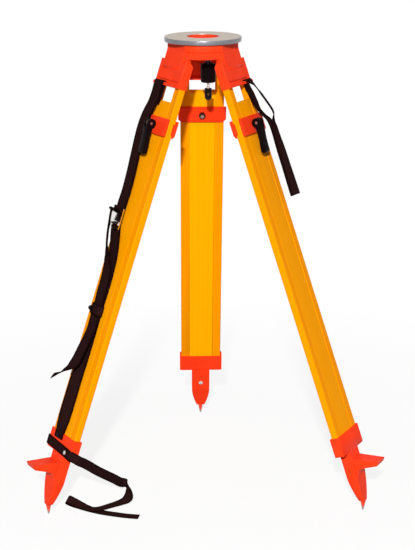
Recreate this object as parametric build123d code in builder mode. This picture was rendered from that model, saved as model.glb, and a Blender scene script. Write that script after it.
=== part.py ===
from build123d import *
import os
from math import cos, radians, sin, tan

# Surveying tripod with wooden telescopic legs, standing collapsed with the legs spread.
# Millimetres. The origin is the centre of the head plate's seat, +Z is up and the rear leg points to +Y.
# Leg pieces are drawn upright about their hinge: X across the leg, Y outward, Z up along the leg.

# Clearances
fit_gap = 0.1  # between pieces of one body
bearing_gap = 0.05  # round a turning or sliding shaft
slide_gap = 0.3  # between faces that move past each other
board_gap = 0.12  # between the centre board's edges and the rails

# Head
plate_radius = 82.5
plate_thickness = 10.5
plate_edge = 1.0
bore_radius = 32.0
collar_wall = 3.0
collar_recess = 1.0
body_radius = 75.5
body_depth = 31.5
body_step = 3.0  # the wall's lower part is set back
body_step_drop = 16.0
body_edge = 1.2
flat_radius = 66.0  # the three flats that face the legs
flat_wall = 8.0
deck_thickness = 7.5

# Leg hinge
hinge_radius = 65.0
hinge_drop = 62.0
leg_tilt = 20.0
lug_half = 37.0
lug_root = 54.0
barrel_radius = 13.0
hinge_pin_radius = 5.0

# Fixing screw and the arm that carries it
arm_wall_gap = 1.0  # from the arm's round end to the casting's wall
arm_pivot_angle = 150.0
screw_x = 11.0
screw_y = 0.0
arm_drop = 31.4
arm_thickness = 5.8
arm_width = 30.0
arm_slot_start = 26.0
arm_slot_end = 69.0
arm_slot_width = 16.4
pivot_boss_radius = 10.0
pivot_shoulder_radius = 5.0
pivot_thread_radius = 4.0
pivot_head_radius = 8.0
pivot_head_height = 4.0
pivot_thread_length = 9.0
carriage_length = 19.0
carriage_flange = 24.0
carriage_flange_height = 2.5
thread_radius = 7.94  # 5/8 inch fixing thread
thread_length = 15.5
thread_drop = 9.5
thread_relief = 1.3
thread_root = 6.3
screw_flange_radius = 9.5
screw_flange_height = 2.5
shank_radius = 6.0
screw_lift = 17.0
washer_radius = 12.0
washer_height = 2.0
knob_radius = 16.5
knob_height = 40.0
knob_flutes = 8
knob_flute_radius = 4.5
knob_socket = 16.0
plumb_stem_radius = 3.0
plumb_stem_length = 13.0
plumb_end_radius = 7.7
plumb_end_length = 25.0
plumb_spigot_radius = 2.5
plumb_spigot_length = 8.0
plumb_eye_radius = 2.2

# Plate screws
plate_screw_count = 3
plate_screw_ring_radius = 46.0
plate_screw_radius = 2.5
plate_screw_bite = 5.5
plate_screw_head_radius = 4.5
plate_screw_head_height = 4.0

# Rails and centre board
rail_width = 20.0
rail_thickness = 15.0
rail_edge = 1.5
rail_gap = 57.0
rail_top_drop = 16.0  # distances down the leg are measured from the hinge
board_thickness = 14.0
board_top_drop = 75.0
board_edge = 1.0

# Leg-top casting
casting_height_above = 12.5
casting_depth = 43.5
casting_wall = 2.4
casting_face = 5.0
fork_depth = 7.0
back_pocket_drop = 20.0
back_pocket_depth = 8.0
back_pocket_rib = 4.0
strap_slot_drop = 30.0
strap_bar_height = 6.3
strap_bar_thickness = 3.8
strap_bar_gap = 3.3
slot_floor = 1.5
strap_post = 8.5
ear_chamfer = 5.0
casting_corner = 2.5

# Screws of the upper leg
rail_screw_drop = 27.0
rail_screw_radius = 2.5
rail_screw_head_radius = 4.5
rail_screw_head_height = 2.5
rail_screw_bite = 3.5
band_screw_radius = 2.0
band_screw_head_radius = 4.0
band_screw_head_height = 2.0
band_screw_bite = 9.0

# End band at the foot of the rails
band_top_drop = 825.0
band_height = 43.0
band_floor = 6.0
band_wall = 3.0
band_side = 3.6
band_corner = 3.5

# Clamp at the top of the centre board
clamp_drop = 129.0
clamp_height = 38.0
clamp_plate = 6.0
clamp_back_plate = 4.0
clamp_wing = 5.0
clamp_hook = 5.0
clamp_chamfer = 7.0
clamp_bolt_radius = 4.0
clamp_nut_radius = 7.5
clamp_nut_height = 6.5
clamp_thread_end = 2.0
eye_radius = 7.5
eye_half = 4.0
cam_pivot = 11.3  # from the outer plate's face to the lever pin
cam_radius = 9.8
cam_throw = 1.1
lever_half = 8.5
lever_pin_radius = 3.0
lever_length = 62.0
lever_thickness = 12.0
lever_waist = 5.0
lever_lean = -2.5  # of the handle's end, towards the leg
lever_fork = 10.0

# Foot, its steel point and its screw
neck_half = 22.0
neck_inner = 15.0
neck_outer = 10.5
neck_length = 63.0
spike_length = 54.0
spike_end_half = 6.0
spike_end_offset = 4.75
spike_bulge = 3.0  # of the rounded taper past a straight one
pedal_half = 18.5
pedal_reach = 68.0
pedal_drop = 16.5  # from the band's lower edge to the pedal's root
pedal_slope = 16.7
pedal_tip_thickness = 8.0
pedal_root_thickness = 20.0
tenon_half = 16.5
tenon_floor = 6.0
tenon_wall_gap = 0.1
foot_stop_gap = 0.2
point_radius = 6.0
point_length = 22.7
point_tip_radius = 1.6
point_shank_radius = 3.5
point_shank_length = 8.0
foot_screw_rise = 27.0
foot_screw_radius = 3.0
foot_screw_head_radius = 5.0
foot_screw_head_height = 3.0
foot_screw_length = 24.0

# Straps and their fittings
shoulder_width = 36.0
shoulder_thickness = 2.4
shoulder_offset = 30.0  # middle of the buckle
shoulder_rest = 7.1  # middle of the strap on the leg below the buckle
shoulder_end = 13.0  # middle of its riveted end
shoulder_lap = 14.0  # of that end on the band
shoulder_run = 268.0  # from the band to the keeper, for which the heights of its waves are listed
shoulder_fall = 213.0  # from the buckle to the keeper, for which the drops of its loop are listed
closing_width = 21.0
closing_start = -4.0  # of the wrap, on the band's far side
ground_lift = 2.6  # middle of the strap that lies on the ground
closing_thickness = 2.2
carry_width = 25.0
carry_thickness = 2.4
carry_offset = -29.0
buckle_drop = 320.0
buckle_height = 50.0
buckle_bar = 4.0
buckle_slot = 10.0
buckle_window = 6.0
buckle_side = 2.6
buckle_plate = 3.0
buckle_face = 17.3
buckle_lip_rise = 12.0  # from the frame's lower edge to the lip's
buckle_lip_height = 4.0
buckle_lip_reach = 3.5
keeper_drop = 533.0
keeper_height = 24.0
keeper_back = 8.0
keeper_wall = 1.8
keeper_depth = 7.0
keeper_dome = 21.0
keeper_stud_radius = 5.5
keeper_stud_side = 12.0  # from the strap's middle
strap_tail = 2.0
strap_lift = 2.9  # of the straps' layers off the leg
rivet_radius = 1.6
rivet_head_radius = 4.5
rivet_head_height = 1.6

# Sizes that follow from the ones above
collar_radius = bore_radius + collar_wall
body_bottom = plate_thickness + body_depth
deck_bottom = plate_thickness + deck_thickness
cavity_radius = flat_radius - flat_wall
arm_pivot_radius = cavity_radius - arm_width / 2 - arm_wall_gap
arm_bottom = arm_drop + arm_thickness
carriage_top = arm_drop - fit_gap - carriage_flange_height
carriage_bottom = arm_bottom + fit_gap + carriage_flange_height
thread_end = thread_drop + thread_length
knob_top = carriage_bottom + screw_lift + washer_height + slide_gap
knob_bottom = knob_top + knob_height
rail_half = rail_gap / 2 + rail_width
rail_face = rail_thickness / 2
band_bottom_drop = band_top_drop + band_height
rail_bottom = band_bottom_drop - band_floor
board_half = rail_gap / 2 - board_gap
board_face = board_thickness / 2
casting_half = rail_half + fit_gap + casting_wall
casting_outer = rail_face + fit_gap + casting_face
ear_inner = lug_half + slide_gap
slot_face = rail_face + fit_gap + slot_floor
strap_bar_back = slot_face + strap_bar_gap
strap_bar_front = strap_bar_back + strap_bar_thickness
strap_bar_top = casting_depth - strap_bar_height
band_half = rail_half + fit_gap + band_side
band_face = rail_face + fit_gap + band_wall
band_screw_drop = (band_top_drop + band_bottom_drop) / 2
clamp_face = rail_face + slide_gap
clamp_outer_face = clamp_face + clamp_plate
clamp_back_face = clamp_face + clamp_back_plate
clamp_half = rail_half + clamp_wing
clamp_top = clamp_drop - clamp_height / 2
clamp_bottom = clamp_drop + clamp_height / 2
pin_offset = clamp_outer_face + cam_pivot
tilt_sin = sin(radians(leg_tilt))
tilt_cos = cos(radians(leg_tilt))
neck_end = band_bottom_drop + neck_length
spike_end = neck_end + spike_length
tenon_end = neck_end - tenon_floor
foot_screw_drop = neck_end - foot_screw_rise
pedal_top = band_bottom_drop + pedal_drop
pedal_fall = (pedal_reach - neck_outer) * tan(radians(pedal_slope))
point_tip = (-spike_end_offset - point_length * tilt_sin, spike_end + point_length * tilt_cos)
floor_drop = hinge_drop - point_tip[0] * tilt_sin + point_tip[1] * tilt_cos

leg_angles = {"rear": 0, "left": 120, "right": 240}
pivot_x = arm_pivot_radius * cos(radians(arm_pivot_angle))
pivot_y = arm_pivot_radius * sin(radians(arm_pivot_angle))
arm_run = Vector(screw_x - pivot_x, screw_y - pivot_y, 0)


def radial_plane(angle):
    outward = (-sin(radians(angle)), cos(radians(angle)), 0)
    tangent = (cos(radians(angle)), sin(radians(angle)), 0)
    return Plane(origin=(0, 0, 0), x_dir=outward, z_dir=tangent)


def leg_place(angle):
    hinge = Location((0, hinge_radius, -hinge_drop), (leg_tilt, 0, 0))
    return Location((0, 0, 0), (0, 0, angle)) * hinge


def front_plane(y):
    return Plane.XZ.offset(-y)


def webbing(stations, width, thickness):
    # Flat strap through (centre, width direction) stations, each section square to the run
    with BuildPart() as strap:
        for index, (centre, across) in enumerate(stations):
            before = Vector(stations[max(index - 1, 0)][0])
            after = Vector(stations[min(index + 1, len(stations) - 1)][0])
            run = (after - before).normalized()
            side = Vector(across) - run * Vector(across).dot(run)
            with BuildSketch(Plane(origin=centre, x_dir=side, z_dir=run)):
                Rectangle(width, thickness)
        loft(ruled=True)
    return strap.part


def round_bar(back, front, edge, way, thickness):
    # Turn of a strap round the edge of a bar, listed from behind the bar to its front
    middle = (back + front) / 2
    return [
        (back, edge - way * thickness),
        (back, edge + way * thickness * 0.2),
        (back + thickness / 3, edge + way * thickness * 0.7),
        (middle, edge + way * thickness * 0.9),
        (front - thickness / 3, edge + way * thickness * 0.7),
        (front, edge + way * thickness * 0.2),
        (front, edge - way * thickness),
    ]


def save(part, label):
    part.label = label
    export_step(part, f"parts/{label}.step")


os.makedirs("parts", exist_ok=True)

# Round head plate, screwed down on the casting from below
with BuildPart() as head_plate:
    with BuildSketch(Plane.XY.offset(-plate_thickness)):
        Circle(plate_radius)
        Circle(collar_radius + fit_gap, mode=Mode.SUBTRACT)
    extrude(amount=plate_thickness)
    rim = head_plate.faces().filter_by(GeomType.CYLINDER).sort_by(SortBy.AREA)[-1]
    chamfer(rim.edges().filter_by(GeomType.CIRCLE), plate_edge)
    with BuildSketch(Plane.XY.offset(-plate_thickness)):
        with PolarLocations(plate_screw_ring_radius, plate_screw_count):
            Circle(plate_screw_radius + bearing_gap)
    extrude(amount=plate_screw_bite + fit_gap, mode=Mode.SUBTRACT)

# Head casting: ring body with three flats, a hinge lug under each flat and a boss for the arm
with BuildPart() as head_casting:
    with BuildSketch(Plane.XZ):
        with BuildLine():
            Polyline(
                (bore_radius, -collar_recess),
                (collar_radius, -collar_recess),
                (collar_radius, -plate_thickness),
                (body_radius, -plate_thickness),
                (body_radius, -plate_thickness - body_step_drop + body_edge),
                (body_radius - body_edge, -plate_thickness - body_step_drop),
                (body_radius - body_step, -plate_thickness - body_step_drop),
                (body_radius - body_step, -body_bottom + body_edge),
                (body_radius - body_step - body_edge, -body_bottom),
                (cavity_radius, -body_bottom),
                (cavity_radius, -deck_bottom),
                (bore_radius, -deck_bottom),
                close=True,
            )
        make_face()
    revolve(axis=Axis.Z)
    with BuildSketch(*[radial_plane(angle) for angle in leg_angles.values()]):
        with Locations(((flat_radius + body_radius) / 2 + body_edge, -(plate_thickness + body_bottom) / 2)):
            Rectangle(body_radius - flat_radius + 2 * body_edge, body_depth)
    extrude(amount=body_radius, both=True, mode=Mode.SUBTRACT)
    with BuildSketch(*[radial_plane(angle) for angle in leg_angles.values()]):
        with Locations((hinge_radius, -hinge_drop)):
            Circle(barrel_radius)
        with Locations(((lug_root + flat_radius) / 2, -(deck_bottom + body_bottom) / 2)):
            Rectangle(flat_radius - lug_root, body_depth / 3)
        make_hull()
    extrude(amount=lug_half, both=True)
    with BuildSketch(*[radial_plane(angle) for angle in leg_angles.values()]):
        with Locations((hinge_radius, -hinge_drop)):
            Circle(hinge_pin_radius + bearing_gap)
    extrude(amount=body_radius, both=True, mode=Mode.SUBTRACT)
    with BuildSketch(Plane.XY.offset(-arm_drop + fit_gap)):
        with Locations((pivot_x, pivot_y)):
            Circle(pivot_boss_radius)
    extrude(amount=arm_drop - fit_gap - deck_bottom)
    with BuildSketch(Plane.XY.offset(-arm_drop + fit_gap)):
        with Locations((pivot_x, pivot_y)):
            Circle(pivot_thread_radius + bearing_gap)
    extrude(amount=pivot_thread_length + fit_gap, mode=Mode.SUBTRACT)
    with BuildSketch(Plane.XY.offset(-deck_bottom)):
        with PolarLocations(plate_screw_ring_radius, plate_screw_count):
            Circle(plate_screw_radius + bearing_gap)
    extrude(amount=deck_thickness, mode=Mode.SUBTRACT)

# Plate screws and the shoulder bolt on which the arm swings
with BuildPart() as head_fasteners:
    with BuildSketch(Plane.XY.offset(-deck_bottom)):
        with PolarLocations(plate_screw_ring_radius, plate_screw_count):
            Circle(plate_screw_radius)
    extrude(amount=deck_thickness + plate_screw_bite)
    with BuildSketch(Plane.XY.offset(-deck_bottom)):
        with PolarLocations(plate_screw_ring_radius, plate_screw_count):
            RegularPolygon(plate_screw_head_radius, 6)
    extrude(amount=-plate_screw_head_height)
    with BuildSketch(Plane.XY.offset(-arm_bottom - fit_gap)):
        with Locations((pivot_x, pivot_y)):
            RegularPolygon(pivot_head_radius, 6)
    extrude(amount=-pivot_head_height)
    with BuildSketch(Plane.XY.offset(-arm_bottom - fit_gap)):
        with Locations((pivot_x, pivot_y)):
            Circle(pivot_shoulder_radius)
    extrude(amount=arm_thickness + 2 * fit_gap)
    with BuildSketch(Plane.XY.offset(-arm_drop + fit_gap)):
        with Locations((pivot_x, pivot_y)):
            Circle(pivot_thread_radius)
    extrude(amount=pivot_thread_length)

# Swinging arm with the slot that the carriage slides in
arm_plane = Plane(origin=(pivot_x, pivot_y, -arm_bottom), x_dir=arm_run, z_dir=(0, 0, 1))
arm_end = arm_slot_end + arm_width / 2
with BuildPart() as screw_arm:
    with BuildSketch(arm_plane):
        with Locations(((arm_end - arm_width / 2) / 2, 0)):
            SlotOverall(arm_end + arm_width / 2, arm_width)
        with Locations(((arm_slot_start + arm_slot_end) / 2, 0)):
            Rectangle(arm_slot_end - arm_slot_start, arm_slot_width, mode=Mode.SUBTRACT)
        Circle(pivot_shoulder_radius + bearing_gap, mode=Mode.SUBTRACT)
    extrude(amount=arm_thickness)

# Carriage in the arm's slot, with a bore for the fixing screw
carriage_plane = Plane(origin=(screw_x, screw_y, -carriage_bottom), x_dir=arm_run, z_dir=(0, 0, 1))
with BuildPart() as carriage:
    with BuildSketch(carriage_plane):
        RectangleRounded(carriage_flange, carriage_flange, carriage_flange_height)
    extrude(amount=carriage_flange_height)
    with BuildSketch(carriage_plane):
        Rectangle(carriage_length, arm_slot_width - 2 * fit_gap)
    extrude(amount=carriage_bottom - carriage_top)
    with BuildSketch(carriage_plane.offset(carriage_bottom - carriage_top)):
        RectangleRounded(carriage_flange, carriage_flange, carriage_flange_height)
    extrude(amount=-carriage_flange_height)
    with BuildSketch(carriage_plane):
        Circle(shank_radius + bearing_gap)
    extrude(amount=carriage_bottom - carriage_top, mode=Mode.SUBTRACT)

# Thrust washer on top of the knob
screw_plane = Plane(origin=(screw_x, screw_y, 0), x_dir=(1, 0, 0), z_dir=(0, 0, 1))
with BuildPart() as thrust_washer:
    with BuildSketch(screw_plane.offset(-knob_top + fit_gap)):
        Circle(washer_radius)
        Circle(shank_radius + bearing_gap, mode=Mode.SUBTRACT)
    extrude(amount=washer_height)

# Fixing screw: instrument thread, relief, flange that rests on the carriage, shank
screw_profile = Plane(origin=(screw_x, screw_y, 0), x_dir=(1, 0, 0), z_dir=(0, -1, 0))
screw_axis = Axis((screw_x, screw_y, 0), (0, 0, 1))
with BuildPart() as fixing_screw:
    with BuildSketch(screw_profile):
        with BuildLine():
            Polyline(
                (0, -thread_drop),
                (thread_root, -thread_drop),
                (thread_radius, -thread_drop - thread_radius + thread_root),
                (thread_radius, -thread_end),
                (thread_root, -thread_end),
                (thread_root, -thread_end - thread_relief),
                (screw_flange_radius, -carriage_top + screw_flange_height),
                (screw_flange_radius, -carriage_top),
                (shank_radius, -carriage_top),
                (shank_radius, -knob_top - knob_socket),
                (0, -knob_top - knob_socket),
                close=True,
            )
        make_face()
    revolve(axis=screw_axis)

# Fluted hand knob
with BuildPart() as screw_knob:
    with BuildSketch(screw_plane.offset(-knob_bottom)):
        Circle(knob_radius)
    extrude(amount=knob_height)
    fillet(screw_knob.edges().sort_by(Axis.Z)[0], knob_flute_radius)
    with BuildSketch(screw_plane.offset(-knob_bottom)):
        with PolarLocations(knob_radius + knob_flute_radius / 2, knob_flutes):
            Circle(knob_flute_radius)
    extrude(amount=knob_height, mode=Mode.SUBTRACT)
    with BuildSketch(screw_plane.offset(-knob_top)):
        Circle(shank_radius + fit_gap)
    extrude(amount=-knob_socket - fit_gap, mode=Mode.SUBTRACT)
    with BuildSketch(screw_plane.offset(-knob_bottom)):
        Circle(plumb_spigot_radius + fit_gap)
    extrude(amount=plumb_spigot_length + fit_gap, mode=Mode.SUBTRACT)

# Plumb hook under the knob: stem and a rounded end with a cross hole for the line
plumb_end_top = knob_bottom + plumb_stem_length
plumb_bottom = plumb_end_top + plumb_end_length
with BuildPart() as plumb_hook:
    with BuildSketch(screw_profile):
        with BuildLine():
            Polyline(
                (0, -knob_bottom + plumb_spigot_length),
                (plumb_spigot_radius, -knob_bottom + plumb_spigot_length),
                (plumb_spigot_radius, -knob_bottom),
                (plumb_stem_radius, -knob_bottom),
                (plumb_stem_radius, -plumb_end_top),
                (plumb_end_radius, -plumb_end_top),
                (plumb_end_radius, -plumb_bottom + plumb_end_radius / 2),
                (plumb_end_radius / 2, -plumb_bottom),
                (0, -plumb_bottom),
                close=True,
            )
        make_face()
    revolve(axis=screw_axis)
    with BuildSketch(screw_profile):
        with Locations((0, -plumb_bottom + plumb_end_length / 2)):
            Circle(plumb_eye_radius)
    extrude(amount=plumb_end_radius * 2, both=True, mode=Mode.SUBTRACT)

# Leg-top casting: two ears astride the head's lug, a round seat under it, pockets for the rails, a loop for a strap
with BuildPart() as leg_top:
    with BuildSketch(front_plane(casting_outer)):
        with BuildLine():
            Polyline(
                (-casting_half, casting_height_above),
                (-ear_inner, casting_height_above),
                (-ear_inner, -fork_depth),
                (ear_inner, -fork_depth),
                (ear_inner, casting_height_above),
                (casting_half, casting_height_above),
                (casting_half, -casting_depth),
                (-casting_half, -casting_depth),
                close=True,
            )
        make_face()
    extrude(amount=casting_outer + rail_face)
    with BuildSketch(Plane.YZ):
        Circle(barrel_radius + slide_gap)
    extrude(amount=ear_inner, both=True, mode=Mode.SUBTRACT)
    outer_corners = leg_top.edges().filter_by(Axis.Z).group_by(Axis.Y)[-1].group_by(SortBy.LENGTH)[-1]
    fillet(outer_corners, casting_corner)
    ear_tops = leg_top.edges().filter_by(Axis.X).group_by(Axis.Z)[-1].group_by(Axis.Y)[0]
    chamfer(ear_tops, ear_chamfer)
    with BuildSketch(front_plane(rail_face + fit_gap)):
        for side in (-1, 1):
            with Locations((side * (rail_gap + rail_width) / 2, -(rail_top_drop + casting_depth) / 2)):
                Rectangle(rail_width + 2 * fit_gap, casting_depth - rail_top_drop)
    extrude(amount=rail_thickness + fit_gap, mode=Mode.SUBTRACT)
    with BuildSketch(front_plane(back_pocket_depth - rail_face)):
        with Locations((0, -(back_pocket_drop + casting_depth - back_pocket_rib) / 2)):
            Rectangle(rail_gap - 2 * back_pocket_rib, casting_depth - back_pocket_rib - back_pocket_drop)
    extrude(amount=back_pocket_depth, mode=Mode.SUBTRACT)
    with BuildSketch(front_plane(casting_outer)):
        with Locations((0, -(strap_slot_drop + casting_depth) / 2)):
            Rectangle(2 * (casting_half - strap_post), casting_depth - strap_slot_drop)
    extrude(amount=casting_outer - slot_face, mode=Mode.SUBTRACT)
    with BuildSketch(front_plane(strap_bar_front)):
        with Locations((0, -(strap_bar_top + casting_depth) / 2)):
            Rectangle(2 * casting_half, strap_bar_height)
    extrude(amount=strap_bar_thickness)
    with BuildSketch(Plane.YZ):
        Circle(hinge_pin_radius)
    extrude(amount=casting_half, both=True, mode=Mode.SUBTRACT)
    with BuildSketch(front_plane(rail_face + fit_gap)):
        with Locations((-(rail_gap + rail_width) / 2, -rail_screw_drop), ((rail_gap + rail_width) / 2, -rail_screw_drop)):
            Circle(rail_screw_radius + bearing_gap)
    extrude(amount=-rail_screw_bite - fit_gap, mode=Mode.SUBTRACT)

# Hinge pin, flush with the outsides of the ears
with BuildPart() as hinge_pin:
    with BuildSketch(Plane.YZ):
        Circle(hinge_pin_radius)
    extrude(amount=casting_half, both=True)

# Side rails, one on each side of the centre board
rails = {}
for name, side in (("rail_a", -1), ("rail_b", 1)):
    rail_x = side * (rail_gap + rail_width) / 2
    with BuildPart() as rail:
        with BuildSketch(Plane.XY.offset(-rail_bottom)):
            with Locations((rail_x, 0)):
                RectangleRounded(rail_width, rail_thickness, rail_edge)
        extrude(amount=rail_bottom - rail_top_drop)
        with BuildSketch(front_plane(rail_face)):
            with Locations((rail_x, -rail_screw_drop)):
                Circle(rail_screw_radius + bearing_gap)
        extrude(amount=rail_thickness, mode=Mode.SUBTRACT)
        with BuildSketch(Plane.YZ.offset(side * rail_half)):
            with Locations((0, -band_screw_drop)):
                Circle(band_screw_radius + bearing_gap)
        extrude(amount=-side * (band_screw_bite + fit_gap), mode=Mode.SUBTRACT)
    rails[name] = rail.part

# End band: a cup round the rails' lower ends, open below for the centre board
with BuildPart() as end_band:
    with BuildSketch(front_plane(band_face)):
        with Locations((0, -band_screw_drop)):
            Rectangle(2 * band_half, band_height)
        fillet(vertices().group_by(Axis.Y)[0], band_corner)
    extrude(amount=2 * band_face)
    with BuildSketch(Plane.XY.offset(-rail_bottom)):
        Rectangle(2 * (rail_half + fit_gap), rail_thickness + 2 * fit_gap)
    extrude(amount=band_bottom_drop, mode=Mode.SUBTRACT)
    with BuildSketch(Plane.XY.offset(-band_bottom_drop)):
        Rectangle(rail_gap, rail_thickness + 2 * fit_gap)
    extrude(amount=band_floor, mode=Mode.SUBTRACT)
    for side in (-1, 1):
        with BuildSketch(Plane.YZ.offset(side * band_half)):
            with Locations((0, -band_screw_drop)):
                Circle(band_screw_head_radius + fit_gap)
        extrude(amount=-side * band_screw_head_height, mode=Mode.SUBTRACT)
        with BuildSketch(Plane.YZ.offset(side * band_half)):
            with Locations((0, -band_screw_drop)):
                Circle(band_screw_radius + bearing_gap)
        extrude(amount=-side * (band_side + fit_gap), mode=Mode.SUBTRACT)

# Screws that hold the rails in the casting and the band on the rails
with BuildPart() as leg_fasteners:
    for side in (-1, 1):
        rail_x = side * (rail_gap + rail_width) / 2
        with BuildSketch(front_plane(-rail_face)):
            with Locations((rail_x, -rail_screw_drop)):
                Circle(rail_screw_head_radius)
        extrude(amount=rail_screw_head_height)
        with BuildSketch(front_plane(-rail_face)):
            with Locations((rail_x, -rail_screw_drop)):
                Circle(rail_screw_radius)
        extrude(amount=-rail_thickness - fit_gap - rail_screw_bite)
        with BuildSketch(Plane.YZ.offset(side * band_half)):
            with Locations((0, -band_screw_drop)):
                Circle(band_screw_head_radius)
        extrude(amount=-side * band_screw_head_height)
        with BuildSketch(Plane.YZ.offset(side * band_half)):
            with Locations((0, -band_screw_drop)):
                Circle(band_screw_radius)
        extrude(amount=-side * (band_side + fit_gap + band_screw_bite))

# Centre board, which slides between the rails, with a tenon for the foot
with BuildPart() as centre_board:
    with BuildSketch(Plane.XY.offset(-band_bottom_drop)):
        RectangleRounded(2 * board_half, board_thickness, board_edge)
    extrude(amount=band_bottom_drop - board_top_drop)
    with BuildSketch(Plane.XY.offset(-tenon_end)):
        Rectangle(2 * tenon_half, board_thickness)
    extrude(amount=tenon_end - band_bottom_drop)
    with BuildSketch(front_plane(board_face)):
        with Locations((0, -clamp_drop)):
            Circle(clamp_bolt_radius + fit_gap)
        with Locations((0, -foot_screw_drop)):
            Circle(foot_screw_radius + fit_gap)
    extrude(amount=board_thickness, mode=Mode.SUBTRACT)

# Clamp plates outside and inside the leg, with a pad on the board and hooked edges on the inner one
with BuildPart() as clamp_outer:
    with BuildSketch(front_plane(clamp_outer_face)):
        with Locations((0, -clamp_drop)):
            RectangleRounded(2 * rail_half, clamp_height, clamp_chamfer / 2)
    extrude(amount=clamp_plate)
    with BuildSketch(front_plane(clamp_face)):
        with Locations((0, -clamp_drop)):
            Rectangle(2 * board_half - 2 * clamp_bolt_radius, clamp_height - 2 * clamp_bolt_radius)
    extrude(amount=clamp_face - board_face)
    with BuildSketch(front_plane(clamp_outer_face)):
        with Locations((0, -clamp_drop)):
            Circle(clamp_bolt_radius + fit_gap)
    extrude(amount=clamp_outer_face - board_face, mode=Mode.SUBTRACT)

with BuildPart() as clamp_inner:
    with BuildSketch(front_plane(-clamp_face)):
        with BuildLine():
            Polyline(
                (-clamp_half, -clamp_top),
                (clamp_half, -clamp_top),
                (clamp_half, -clamp_bottom + clamp_chamfer),
                (clamp_half - clamp_chamfer, -clamp_bottom),
                (-clamp_half + clamp_chamfer, -clamp_bottom),
                (-clamp_half, -clamp_bottom + clamp_chamfer),
                close=True,
            )
        make_face()
    extrude(amount=clamp_back_plate)
    with BuildSketch(front_plane(-board_face)):
        with Locations((0, -clamp_drop)):
            Rectangle(2 * board_half - 2 * clamp_bolt_radius, clamp_height - 2 * clamp_bolt_radius)
    extrude(amount=clamp_face - board_face)
    with BuildSketch(front_plane(-clamp_face + clamp_hook)):
        for side in (-1, 1):
            hook_width = clamp_wing - slide_gap
            with Locations((side * (clamp_half - hook_width / 2), -clamp_drop)):
                Rectangle(hook_width, clamp_height - 2 * clamp_chamfer)
    extrude(amount=clamp_hook)
    with BuildSketch(front_plane(-board_face)):
        with Locations((0, -clamp_drop)):
            Circle(clamp_bolt_radius + fit_gap)
    extrude(amount=clamp_back_face - board_face, mode=Mode.SUBTRACT)

# Eye bolt through the clamp, and its nut on the inner plate
nut_end = clamp_back_face + clamp_nut_height
with BuildPart() as clamp_bolt:
    with BuildSketch(front_plane(-nut_end - clamp_thread_end)):
        with Locations((0, -clamp_drop)):
            Circle(clamp_bolt_radius)
    extrude(amount=-nut_end - clamp_thread_end - pin_offset)
    with BuildSketch(Plane.YZ):
        with Locations((pin_offset, -clamp_drop)):
            Circle(eye_radius)
    extrude(amount=eye_half, both=True)
    with BuildSketch(Plane.YZ):
        with Locations((pin_offset, -clamp_drop)):
            Circle(lever_pin_radius + bearing_gap)
    extrude(amount=eye_half, both=True, mode=Mode.SUBTRACT)

with BuildPart() as clamp_nut:
    with BuildSketch(front_plane(-clamp_back_face)):
        with Locations((0, -clamp_drop)):
            RegularPolygon(clamp_nut_radius, 6)
            Circle(clamp_bolt_radius + bearing_gap, mode=Mode.SUBTRACT)
    extrude(amount=clamp_nut_height)

# Cam lever: two eccentric cheeks astride the eye, a waisted handle with a rounded end
lever_tip = clamp_drop + lever_length
lever_root = clamp_drop + lever_fork
with BuildPart() as clamp_lever:
    with BuildSketch(Plane.YZ):
        with Locations((pin_offset - cam_throw, -clamp_drop)):
            Circle(cam_radius)
    extrude(amount=lever_half, both=True)
    with BuildSketch(Plane.YZ):
        with BuildLine():
            outer_edge = Spline(
                (pin_offset + cam_radius - cam_throw, -clamp_drop),
                (pin_offset + lever_waist, -clamp_drop - lever_length / 2),
                (pin_offset + lever_lean + lever_thickness / 2, -lever_tip),
                tangents=((0, -1), (0, -1)),
            )
            inner_tip = (pin_offset + lever_lean - lever_thickness / 2, -lever_tip)
            tip_arc = RadiusArc(outer_edge @ 1, inner_tip, lever_thickness / 2 + slide_gap)
            inner_edge = Spline(
                tip_arc @ 1,
                (pin_offset - lever_waist, -clamp_drop - lever_length / 2),
                (pin_offset - cam_radius / 2, -clamp_drop),
                tangents=((0, 1), (0, 1)),
            )
            Line(inner_edge @ 1, outer_edge @ 0)
        make_face()
    extrude(amount=lever_half, both=True)
    with BuildSketch(Plane.YZ):
        with Locations((pin_offset, -lever_root + lever_length / 2)):
            Rectangle(4 * cam_radius, lever_length)
    extrude(amount=eye_half + slide_gap, both=True, mode=Mode.SUBTRACT)
    with BuildSketch(Plane.YZ):
        with Locations((pin_offset, -clamp_drop)):
            Circle(lever_pin_radius)
    extrude(amount=lever_half, both=True, mode=Mode.SUBTRACT)

with BuildPart() as lever_pin:
    with BuildSketch(Plane.YZ):
        with Locations((pin_offset, -clamp_drop)):
            Circle(lever_pin_radius)
    extrude(amount=lever_half, both=True)

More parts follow.
